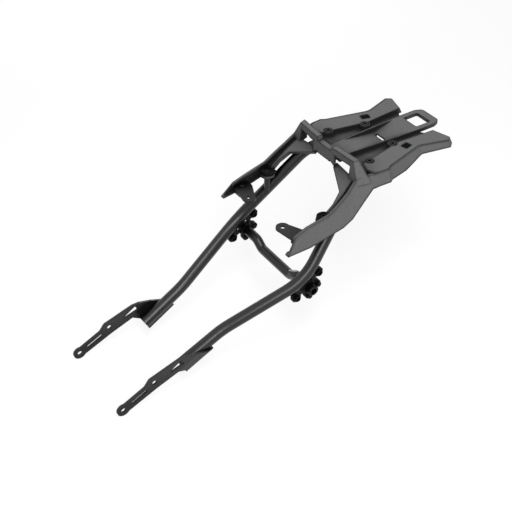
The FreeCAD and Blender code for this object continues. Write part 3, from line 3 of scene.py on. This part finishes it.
import bmesh
import bpy
from bpy.props import FloatProperty, FloatVectorProperty, PointerProperty
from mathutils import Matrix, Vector


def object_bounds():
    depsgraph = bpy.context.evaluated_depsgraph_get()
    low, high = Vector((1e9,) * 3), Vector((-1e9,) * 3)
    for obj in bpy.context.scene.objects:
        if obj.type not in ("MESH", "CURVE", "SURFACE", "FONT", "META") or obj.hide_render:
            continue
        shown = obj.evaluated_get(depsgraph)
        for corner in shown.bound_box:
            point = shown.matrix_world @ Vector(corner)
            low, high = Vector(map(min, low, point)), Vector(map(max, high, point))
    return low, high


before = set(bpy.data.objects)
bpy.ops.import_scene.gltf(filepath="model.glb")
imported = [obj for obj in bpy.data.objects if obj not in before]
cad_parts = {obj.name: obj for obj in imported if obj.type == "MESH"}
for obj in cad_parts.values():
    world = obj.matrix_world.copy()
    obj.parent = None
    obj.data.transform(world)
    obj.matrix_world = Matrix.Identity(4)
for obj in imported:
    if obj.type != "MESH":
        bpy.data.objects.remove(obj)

bl_info = {
    "name": "Motorcycle luggage rack",
    "version": (1, 0, 0),
    "blender": (4, 5, 0),
    "location": "View3D > Sidebar > Luggage Rack",
    "description": "Finishes and studio stage of a motorcycle luggage rack",
    "category": "Object",
}

# The box of the rack as it was built, in metres
CAD_LOW, CAD_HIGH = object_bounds()

# Pieces by the finish that they share
MOULDED = ("rack_moulding",)
TUBES = (
    "left_main_tube", "right_main_tube", "cross_brace", "left_handle_post", "right_handle_post",
    "front_tube_bosses", "rear_tube_bosses",
)
PLATES = ("left_front_plate", "right_front_plate")
TABS = ("left_seat_tab", "right_seat_tab")
BRACKETS = (
    "left_brace_bracket", "right_brace_bracket", "left_brace_flange", "right_brace_flange",
    "left_carrier_boss", "right_carrier_boss",
)
FASTENERS = (
    "front_rack_screws", "rear_rack_screws", "seat_tab_screws", "left_handle_bolt", "right_handle_bolt",
    "left_brace_bolts", "right_brace_bolts", "left_brace_nuts", "right_brace_nuts",
)
BUSHES = ("left_handle_bush", "right_handle_bush", "left_bracket_bushes", "right_bracket_bushes")

# The floor's own colour, and the light that it shows by itself, so that it is white and keeps its shadows
FLOOR_TONE = 0.3
FLOOR_GLOW = 0.8
# How dark the painted shade in a crevice or along an edge is, as a share of the open surface's colour
PAINTED_SHADE_SHARE = 0.1
# Width of the painted shade band along an edge, in edge radii
PAINTED_EDGE_SHADE_BAND = 8.0
# Ambient Occlusion where the painted shade in a crevice is darkest, and where a surface is open and
# unshaded
PAINTED_CREVICE_SHADE_RANGE = (0.72, 1.0)
# Cosine of the rounded normal's turn where the painted shade along an edge is darkest, and where a surface
# is flat
PAINTED_EDGE_SHADE_RANGE = (0.8, 0.998)
# Rays that look for crevices and for edges at each point, for the painted shade
CREVICE_RAYS = 8
EDGE_RAYS = 6


# Sizes and colours that a user would change

class RackFinishSettings(bpy.types.PropertyGroup):
    """Colours and surface sizes of the rack's finishes."""
    moulding_colour: FloatVectorProperty(
        name="Moulding", description="Grained plastic of the rack moulding", subtype="COLOR",
        size=3, min=0.0, max=1.0, default=(0.172, 0.173, 0.175))
    tube_colour: FloatVectorProperty(
        name="Tubes", description="Charcoal powder coat of the tubes", subtype="COLOR",
        size=3, min=0.0, max=1.0, default=(0.013, 0.013, 0.014))
    plate_colour: FloatVectorProperty(
        name="Plates", description="Satin coat of the sheet plates", subtype="COLOR",
        size=3, min=0.0, max=1.0, default=(0.048, 0.048, 0.049))
    tab_colour: FloatVectorProperty(
        name="Tabs", description="Darker coat of the seat tabs", subtype="COLOR",
        size=3, min=0.0, max=1.0, default=(0.020, 0.020, 0.021))
    bracket_colour: FloatVectorProperty(
        name="Brackets", description="Black coat of the brackets", subtype="COLOR",
        size=3, min=0.0, max=1.0, default=(0.012, 0.012, 0.012))
    fastener_colour: FloatVectorProperty(
        name="Fasteners", description="Blackened steel of the screws", subtype="COLOR",
        size=3, min=0.0, max=1.0, default=(0.010, 0.010, 0.010))
    rubber_colour: FloatVectorProperty(
        name="Bushes", description="Black rubber of the bushes", subtype="COLOR",
        size=3, min=0.0, max=1.0, default=(0.008, 0.008, 0.008))
    moulding_grain: FloatProperty(
        name="Moulding grain", description="Width of one grain of the moulded texture", unit="LENGTH",
        min=0.0001, default=0.0011)
    paint_peel: FloatProperty(
        name="Paint peel", description="Width of one ripple in the powder coat", unit="LENGTH",
        min=0.0001, default=0.0016)
    moulded_edge: FloatProperty(
        name="Moulded edge", description="Radius of the moulding's edges", unit="LENGTH",
        min=0.0, default=0.0007)
    sheet_edge: FloatProperty(
        name="Sheet edge", description="Radius of a painted sheet's edges", unit="LENGTH",
        min=0.0, default=0.0004)
    # Reach of the painted shade in crevices: how near another surface must be to darken the colour
    crevice_reach: FloatProperty(
        name="Crevice reach", description="How near another surface darkens a crevice", unit="LENGTH",
        min=0.0, default=0.06)


class RackStageSettings(bpy.types.PropertyGroup):
    """Camera, floor and lamps."""
    camera_place: FloatVectorProperty(
        name="Camera", description="Where the camera stands", subtype="TRANSLATION", unit="LENGTH",
        size=3, default=(1.0668, -0.4186, 1.1848))
    azimuth: FloatProperty(
        name="Azimuth", description="Turn of the view from the front towards the near side",
        unit="ROTATION", default=math.radians(55.91))
    elevation: FloatProperty(
        name="Elevation", description="How steeply the camera looks down", unit="ROTATION",
        default=math.radians(39.56))
    lens: FloatProperty(
        name="Lens", description="Focal length in millimetres on a 36 mm sensor", min=1.0, default=70.25)
    floor_width: FloatProperty(
        name="Floor", description="Width of the pale floor", unit="LENGTH", default=14.0)
    lamp_length: FloatProperty(
        name="Lamp length", description="Length of the two long lamps along the rack", unit="LENGTH",
        default=2.4)
    overhead_offset: FloatVectorProperty(
        name="Overhead offset", description="The overhead softbox, from the rack's middle",
        subtype="TRANSLATION", unit="LENGTH", size=3, default=(-0.15, 0.0, 2.1))
    overhead_width: FloatProperty(
        name="Overhead width", description="Width of the overhead softbox across the rack", unit="LENGTH",
        default=0.9)
    overhead_power: FloatProperty(
        name="Overhead", description="Power of the overhead softbox in watts", min=0.0, default=5.0)
    side_offset: FloatVectorProperty(
        name="Side offset", description="The near side's softbox, from the rack's middle",
        subtype="TRANSLATION", unit="LENGTH", size=3, default=(1.9, -0.3, 1.3))
    side_width: FloatProperty(
        name="Side width", description="Width of the near side's and the rear softbox", unit="LENGTH",
        default=1.0)
    side_power: FloatProperty(
        name="Side", description="Power of the near side's softbox in watts", min=0.0, default=6.0)
    rear_offset: FloatVectorProperty(
        name="Rear offset", description="The softbox behind the far side, from the rack's middle",
        subtype="TRANSLATION", unit="LENGTH", size=3, default=(-2.1, 0.9, 0.3))
    rear_power: FloatProperty(
        name="Rear", description="Power of the softbox behind the far side in watts", min=0.0, default=15.0)
    strip_offset: FloatVectorProperty(
        name="Strip offset", description="The main strip over the near side, from the rack's middle",
        subtype="TRANSLATION", unit="LENGTH", size=3, default=(1.3, -0.7, 1.9))
    strip_width: FloatProperty(
        name="Strip width", description="Width of the main strip over the near side", unit="LENGTH",
        default=0.6)
    strip_power: FloatProperty(
        name="Strip", description="Power of the main strip over the near side in watts", min=0.0,
        default=40.0)
    ambient: FloatProperty(
        name="Ambient", description="Strength of the light from all round", min=0.0, default=0.15)


# Node groups that several finishes share

def shader_group(name, inputs, outputs):
    """A new shader node group with number sockets, and its input and output nodes."""
    tree = bpy.data.node_groups.new(name, "ShaderNodeTree")
    for label, default in inputs.items():
        socket = tree.interface.new_socket(label, in_out="INPUT", socket_type="NodeSocketFloat")
        socket.default_value = default
    for label in outputs:
        tree.interface.new_socket(label, in_out="OUTPUT", socket_type="NodeSocketFloat")
    return tree, tree.nodes.new("NodeGroupInput"), tree.nodes.new("NodeGroupOutput")


def add_node(tree, kind, settings=None, **values):
    """A new node with its settings and the values of its sockets."""
    node = tree.nodes.new(kind)
    for label, setting in (settings or {}).items():
        setattr(node, label, setting)
    for label, value in values.items():
        node.inputs[label.replace("_", " ")].default_value = value
    return node


def over(tree, numerator, socket):
    """A number divided by a socket's value."""
    node = add_node(tree, "ShaderNodeMath", {"operation": "DIVIDE"})
    node.inputs[0].default_value = numerator
    tree.links.new(socket, node.inputs[1])
    return node.outputs[0]


def noise(tree, place, scale, detail, roughness=0.5):
    """A noise texture at a place, as fine as a scale socket says."""
    node = add_node(tree, "ShaderNodeTexNoise", Detail=detail, Roughness=roughness)
    tree.links.new(place, node.inputs["Vector"])
    tree.links.new(scale, node.inputs["Scale"])
    return node.outputs["Fac"]


def mixed(tree, factor, first, second):
    """Two values mixed by a fixed factor."""
    node = add_node(tree, "ShaderNodeMix")
    node.inputs["Factor"].default_value = factor
    tree.links.new(first, node.inputs["A"])
    tree.links.new(second, node.inputs["B"])
    return node.outputs["Result"]


def mapped(tree, value, start=(0.0, 1.0), end=(0.0, 1.0)):
    """A socket's value, carried from one range to another."""
    node = add_node(tree, "ShaderNodeMapRange", From_Min=start[0], From_Max=start[1], To_Min=end[0],
                    To_Max=end[1])
    tree.links.new(value, node.inputs["Value"])
    return node.outputs["Result"]


def grain_group():
    """Moulded grain: rounded pebbles with fine noise between them, and a slow change of tone."""
    tree, given, made = shader_group("Moulded grain", {"Grain": 0.001, "Patch": 0.04}, ("Height", "Tone"))
    place = add_node(tree, "ShaderNodeTexCoord").outputs["Object"]
    pebbles = add_node(tree, "ShaderNodeTexVoronoi", {"feature": "SMOOTH_F1"})
    tree.links.new(place, pebbles.inputs["Vector"])
    tree.links.new(over(tree, 1.0, given.outputs["Grain"]), pebbles.inputs["Scale"])
    fine_per_grain, fine_share = 2.2, 0.45
    fine = noise(tree, place, over(tree, fine_per_grain, given.outputs["Grain"]), detail=3.0)
    tree.links.new(mixed(tree, fine_share, pebbles.outputs["Distance"], fine), made.inputs["Height"])
    specks_per_grain, speck_share = 0.35, 0.7
    patches = noise(tree, place, over(tree, 1.0, given.outputs["Patch"]), detail=3.0)
    speck_scale = over(tree, specks_per_grain, given.outputs["Grain"])
    specks = noise(tree, place, speck_scale, detail=2.0, roughness=0.7)
    tree.links.new(mixed(tree, speck_share, patches, specks), made.inputs["Tone"])
    return tree


def paint_group():
    """Powder coat: a fine ripple over the surface and a slow change of tone."""
    tree, given, made = shader_group("Powder coat", {"Ripple": 0.0016, "Patch": 0.03}, ("Height", "Tone"))
    place = add_node(tree, "ShaderNodeTexCoord").outputs["Object"]
    ripple = noise(tree, place, over(tree, 1.0, given.outputs["Ripple"]), detail=1.5)
    tree.links.new(ripple, made.inputs["Height"])
    specks_per_ripple, speck_share = 2.0, 0.3
    patches = noise(tree, place, over(tree, 1.0, given.outputs["Patch"]), detail=4.0)
    specks = noise(tree, place, over(tree, specks_per_ripple, given.outputs["Ripple"]), detail=0.0)
    tree.links.new(mixed(tree, speck_share, patches, specks), made.inputs["Tone"])
    return tree


def painted_shade_group():
    """Painted shade: 1 on open flat surfaces, falling to 0 in gaps and along sharp edges, where shade would
    fall.
    """
    tree, given, made = shader_group("Painted shade", {"Reach": 0.02, "Edge": 0.002}, ("Unshaded",))
    # Painted shade in gaps: Ambient Occlusion darkens the colour in crevices, where shade would fall
    gaps = add_node(tree, "ShaderNodeAmbientOcclusion", {"samples": CREVICE_RAYS})
    tree.links.new(given.outputs["Reach"], gaps.inputs["Distance"])
    painted_crevice_shade = mapped(tree, gaps.outputs["AO"], start=PAINTED_CREVICE_SHADE_RANGE)

    # Painted shade along edges: the turn of a rounded normal darkens a band of colour along each sharp edge
    rounded = add_node(tree, "ShaderNodeBevel", {"samples": EDGE_RAYS})
    tree.links.new(given.outputs["Edge"], rounded.inputs["Radius"])
    turn = add_node(tree, "ShaderNodeVectorMath", {"operation": "DOT_PRODUCT"})
    tree.links.new(rounded.outputs["Normal"], turn.inputs[0])
    tree.links.new(add_node(tree, "ShaderNodeNewGeometry").outputs["Normal"], turn.inputs[1])
    painted_edge_shade = mapped(tree, turn.outputs["Value"], start=PAINTED_EDGE_SHADE_RANGE)

    both = add_node(tree, "ShaderNodeMath", {"operation": "MULTIPLY"})
    tree.links.new(painted_crevice_shade, both.inputs[0])
    tree.links.new(painted_edge_shade, both.inputs[1])
    tree.links.new(both.outputs[0], made.inputs["Unshaded"])
    return tree


def group_named(name, maker):
    """A shared node group, made the first time that it is asked for."""
    found = bpy.data.node_groups.get(name)
    return found if found else maker()


def colour_mix(tree, factor, first, second):
    """Two colours mixed by a socket, each given as a colour or a socket."""
    node = add_node(tree, "ShaderNodeMix", {"data_type": "RGBA"})
    tree.links.new(factor, node.inputs["Factor"])
    for label, colour in (("A", first), ("B", second)):
        socket = next(s for s in node.inputs if s.name == label and s.type == "RGBA")
        if isinstance(colour, bpy.types.NodeSocket):
            tree.links.new(colour, socket)
        else:
            socket.default_value = (*colour, 1.0)
    return next(s for s in node.outputs if s.type == "RGBA")


def placed_group(tree, group, sizes):
    """A node group in a tree, with its input values."""
    node = tree.nodes.new("ShaderNodeGroup")
    node.node_tree = group
    for label, value in sizes.items():
        node.inputs[label].default_value = value
    return node


def toned_finish(name, colour, group, sizes, *, tone_spread, roughness, relief, specular, edge, crevice):
    """A finish whose tone, roughness and relief follow a shared group, with painted shade in crevices and
    along edges.
    """
    material = bpy.data.materials.new(name)
    material.use_nodes = True
    tree = material.node_tree
    shader = tree.nodes["Principled BSDF"]
    shader.inputs["Specular IOR Level"].default_value = specular
    surface = placed_group(tree, group, sizes)
    painted_shade = placed_group(tree, group_named("Painted shade", painted_shade_group),
                           {"Reach": crevice, "Edge": PAINTED_EDGE_SHADE_BAND * edge})

    dark = [channel * (1.0 - tone_spread) for channel in colour]
    light = [channel * (1.0 + tone_spread) for channel in colour]
    # Painted shade: the colour falls to this share of itself in crevices and along edges
    painted_shade_colour = [channel * PAINTED_SHADE_SHARE for channel in colour]
    tone = colour_mix(tree, surface.outputs["Tone"], dark, light)
    tree.links.new(colour_mix(tree, painted_shade.outputs["Unshaded"], painted_shade_colour, tone), shader.inputs["Base Color"])

    tree.links.new(mapped(tree, surface.outputs["Tone"], end=roughness), shader.inputs["Roughness"])

    rounded = add_node(tree, "ShaderNodeBevel", {"samples": EDGE_RAYS}, Radius=edge)
    bump = add_node(tree, "ShaderNodeBump", Strength=1.0, Distance=relief)
    tree.links.new(rounded.outputs["Normal"], bump.inputs["Normal"])
    tree.links.new(surface.outputs["Height"], bump.inputs["Height"])
    tree.links.new(bump.outputs["Normal"], shader.inputs["Normal"])
    return material


def moulding_finish(finish):
    """Mid grey plastic with a fine moulded grain."""
    return toned_finish(
        "Grained grey plastic", finish.moulding_colour, group_named("Moulded grain", grain_group),
        {"Grain": finish.moulding_grain, "Patch": 0.05},
        tone_spread=0.3, roughness=(0.55, 0.72), relief=0.00016, specular=0.12,
        edge=finish.moulded_edge, crevice=finish.crevice_reach)


def tube_finish(finish):
    """Charcoal powder coat with a soft gloss."""
    return toned_finish(
        "Charcoal powder coat", finish.tube_colour, group_named("Powder coat", paint_group),
        {"Ripple": finish.paint_peel, "Patch": 0.03},
        tone_spread=0.12, roughness=(0.26, 0.34), relief=0.00002, specular=0.42,
        edge=finish.sheet_edge, crevice=finish.crevice_reach)


def sheet_finish(finish, name, colour):
    """Satin coat of the sheet plates and tabs."""
    return toned_finish(
        name, colour, group_named("Powder coat", paint_group),
        {"Ripple": finish.paint_peel, "Patch": 0.02},
        tone_spread=0.12, roughness=(0.34, 0.46), relief=0.00003, specular=0.25,
        edge=finish.sheet_edge, crevice=finish.crevice_reach)


def bracket_finish(finish):
    """Deep black coat of the brackets."""
    return toned_finish(
        "Black bracket coat", finish.bracket_colour, group_named("Powder coat", paint_group),
        {"Ripple": finish.paint_peel, "Patch": 0.015},
        tone_spread=0.15, roughness=(0.36, 0.5), relief=0.00003, specular=0.12,
        edge=finish.sheet_edge, crevice=finish.crevice_reach)


def fastener_finish(finish):
    """Blackened steel."""
    return toned_finish(
        "Blackened steel", finish.fastener_colour, group_named("Powder coat", paint_group),
        {"Ripple": 0.0006, "Patch": 0.004},
        tone_spread=0.25, roughness=(0.3, 0.45), relief=0.000012, specular=0.15,
        edge=finish.sheet_edge, crevice=finish.crevice_reach)


def rubber_finish(finish):
    """Dull black rubber."""
    return toned_finish(
        "Black rubber", finish.rubber_colour, group_named("Moulded grain", grain_group),
        {"Grain": 0.0006, "Patch": 0.01},
        tone_spread=0.2, roughness=(0.6, 0.75), relief=0.00003, specular=0.1,
        edge=finish.moulded_edge, crevice=finish.crevice_reach)


def dress(nodes, material):
    """Gives nodes a finish."""
    for name in nodes:
        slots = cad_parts[name].data.materials
        slots.clear()
        slots.append(material)


# Operators

class RACK_OT_moulding(bpy.types.Operator):
    """Finish the rack moulding"""
    bl_idname = "rack.moulding"
    bl_label = "Rack moulding"

    def execute(self, context):
        dress(MOULDED, moulding_finish(context.scene.rack_finish))
        return {"FINISHED"}


class RACK_OT_tubes(bpy.types.Operator):
    """Finish the tubes, posts and bosses"""
    bl_idname = "rack.tubes"
    bl_label = "Tubes"

    def execute(self, context):
        dress(TUBES, tube_finish(context.scene.rack_finish))
        return {"FINISHED"}


class RACK_OT_plates(bpy.types.Operator):
    """Finish the front plates"""
    bl_idname = "rack.plates"
    bl_label = "Plates"

    def execute(self, context):
        finish = context.scene.rack_finish
        dress(PLATES, sheet_finish(finish, "Satin plate coat", finish.plate_colour))
        return {"FINISHED"}


class RACK_OT_tabs(bpy.types.Operator):
    """Finish the seat tabs"""
    bl_idname = "rack.tabs"
    bl_label = "Seat tabs"

    def execute(self, context):
        finish = context.scene.rack_finish
        dress(TABS, sheet_finish(finish, "Dark tab coat", finish.tab_colour))
        return {"FINISHED"}


class RACK_OT_brackets(bpy.types.Operator):
    """Finish the brace brackets, flanges and carrier bosses"""
    bl_idname = "rack.brackets"
    bl_label = "Brackets"

    def execute(self, context):
        dress(BRACKETS, bracket_finish(context.scene.rack_finish))
        return {"FINISHED"}


class RACK_OT_fasteners(bpy.types.Operator):
    """Finish the screws, bolts and nuts"""
    bl_idname = "rack.fasteners"
    bl_label = "Fasteners"

    def execute(self, context):
        dress(FASTENERS, fastener_finish(context.scene.rack_finish))
        return {"FINISHED"}


class RACK_OT_bushes(bpy.types.Operator):
    """Finish the rubber bushes"""
    bl_idname = "rack.bushes"
    bl_label = "Bushes"

    def execute(self, context):
        dress(BUSHES, rubber_finish(context.scene.rack_finish))
        return {"FINISHED"}


def seen_rays(tree):
    """A mask that is 1 for rays that show the background: straight, mirrored or through glass."""
    path = add_node(tree, "ShaderNodeLightPath")
    mask = path.outputs["Is Camera Ray"]
    for label in ("Is Glossy Ray", "Is Transmission Ray"):
        either = add_node(tree, "ShaderNodeMath", {"operation": "MAXIMUM"})
        tree.links.new(mask, either.inputs[0])
        tree.links.new(path.outputs[label], either.inputs[1])
        mask = either.outputs[0]
    return mask


def pale_floor_finish():
    """Matt near-white paint that shows as white where no shadow falls."""
    material = bpy.data.materials.new("Pale floor")
    material.use_nodes = True
    tree = material.node_tree
    shader = tree.nodes["Principled BSDF"]
    shader.inputs["Base Color"].default_value = (FLOOR_TONE, FLOOR_TONE, FLOOR_TONE, 1.0)
    shader.inputs["Roughness"].default_value = 0.9
    shader.inputs["Specular IOR Level"].default_value = 0.0
    glow = add_node(tree, "ShaderNodeEmission", Color=(1.0, 1.0, 1.0, 1.0))
    lift = add_node(tree, "ShaderNodeMath", {"operation": "MULTIPLY"})
    lift.inputs[1].default_value = FLOOR_GLOW
    tree.links.new(seen_rays(tree), lift.inputs[0])
    tree.links.new(lift.outputs[0], glow.inputs["Strength"])
    both = add_node(tree, "ShaderNodeAddShader")
    tree.links.new(shader.outputs["BSDF"], both.inputs[0])
    tree.links.new(glow.outputs["Emission"], both.inputs[1])
    tree.links.new(both.outputs["Shader"], tree.nodes["Material Output"].inputs["Surface"])
    return material


def add_floor(stage):
    """A pale floor at the height of the front eyes' undersides."""
    grown = bmesh.new()
    bmesh.ops.create_grid(grown, x_segments=1, y_segments=1, size=stage.floor_width / 2)
    bmesh.ops.translate(grown, verts=grown.verts, vec=(0.0, 0.0, CAD_LOW.z))
    mesh = bpy.data.meshes.new("floor")
    grown.to_mesh(mesh)
    grown.free()
    mesh.materials.append(pale_floor_finish())
    floor = bpy.data.objects.new("floor", mesh)
    bpy.context.collection.objects.link(floor)


def add_softbox(name, place, aim, power, width, length):
    """A rectangular area lamp that points at a place, its length along the rack."""
    lamp = bpy.data.lights.new(name, "AREA")
    lamp.shape = "RECTANGLE"
    lamp.size = width
    lamp.size_y = length
    lamp.energy = power
    softbox = bpy.data.objects.new(name, lamp)
    softbox.location = place
    softbox.rotation_euler = (aim - place).to_track_quat("-Z", "Y").to_euler()
    bpy.context.collection.objects.link(softbox)


def set_world(stage):
    """Light from all round, behind a white background."""
    world = bpy.data.worlds.new("Studio")
    bpy.context.scene.world = world
    world.use_nodes = True
    tree = world.node_tree
    light = tree.nodes["Background"]
    light.inputs["Color"].default_value = (1.0, 1.0, 1.0, 1.0)
    light.inputs["Strength"].default_value = stage.ambient
    white = add_node(tree, "ShaderNodeBackground", Color=(1.0, 1.0, 1.0, 1.0), Strength=1.0)
    choice = add_node(tree, "ShaderNodeMixShader")
    tree.links.new(seen_rays(tree), choice.inputs["Fac"])
    tree.links.new(light.outputs["Background"], choice.inputs[1])
    tree.links.new(white.outputs["Background"], choice.inputs[2])
    tree.links.new(choice.outputs["Shader"], tree.nodes["World Output"].inputs["Surface"])


def add_camera(stage):
    """A camera at the photograph's angle."""
    back = Vector((
        math.sin(stage.azimuth) * math.cos(stage.elevation),
        -math.cos(stage.azimuth) * math.cos(stage.elevation),
        math.sin(stage.elevation),
    ))
    lens = bpy.data.cameras.new("camera")
    lens.sensor_width = 36.0
    lens.lens = stage.lens
    lens.clip_start = 0.01
    camera = bpy.data.objects.new("camera", lens)
    camera.location = stage.camera_place
    camera.rotation_euler = (-back).to_track_quat("-Z", "Y").to_euler()
    bpy.context.collection.objects.link(camera)
    bpy.context.scene.camera = camera


class RACK_OT_stage(bpy.types.Operator):
    """Set up the floor, lamps, background and camera"""
    bl_idname = "rack.stage"
    bl_label = "Stage"

    def execute(self, context):
        stage = context.scene.rack_stage
        context.scene.view_settings.view_transform = "Standard"
        middle = (CAD_LOW + CAD_HIGH) / 2
        add_floor(stage)
        add_softbox("overhead_softbox", middle + stage.overhead_offset, middle, stage.overhead_power,
                    stage.overhead_width, stage.lamp_length)
        add_softbox("side_softbox", middle + stage.side_offset, middle, stage.side_power,
                    stage.side_width, stage.side_width)
        add_softbox("rear_softbox", middle + stage.rear_offset, middle, stage.rear_power,
                    stage.side_width, stage.side_width)
        add_softbox("near_strip", middle + stage.strip_offset, middle, stage.strip_power,
                    stage.strip_width, stage.lamp_length)
        set_world(stage)
        add_camera(stage)
        return {"FINISHED"}


class RACK_PT_sidebar(bpy.types.Panel):
    """The rack's operators and settings"""
    bl_idname = "RACK_PT_sidebar"
    bl_label = "Luggage rack"
    bl_space_type = "VIEW_3D"
    bl_region_type = "UI"
    bl_category = "Luggage Rack"

    def draw(self, context):
        for operator in OPERATORS:
            self.layout.operator(operator.bl_idname)
        for settings in (context.scene.rack_finish, context.scene.rack_stage):
            box = self.layout.box()
            for label in settings.__annotations__:
                box.prop(settings, label)


OPERATORS = (
    RACK_OT_moulding, RACK_OT_tubes, RACK_OT_plates, RACK_OT_tabs, RACK_OT_brackets, RACK_OT_fasteners,
    RACK_OT_bushes, RACK_OT_stage,
)
CLASSES = (RackFinishSettings, RackStageSettings, *OPERATORS, RACK_PT_sidebar)


def register():
    for kind in CLASSES:
        bpy.utils.register_class(kind)
    bpy.types.Scene.rack_finish = PointerProperty(type=RackFinishSettings)
    bpy.types.Scene.rack_stage = PointerProperty(type=RackStageSettings)


def unregister():
    del bpy.types.Scene.rack_stage
    del bpy.types.Scene.rack_finish
    for kind in reversed(CLASSES):
        bpy.utils.unregister_class(kind)


def main():
    register()
    bpy.ops.rack.moulding()
    bpy.ops.rack.tubes()
    bpy.ops.rack.plates()
    bpy.ops.rack.tabs()
    bpy.ops.rack.brackets()
    bpy.ops.rack.fasteners()
    bpy.ops.rack.bushes()
    bpy.ops.rack.stage()


if __name__ == "__main__":
    main()
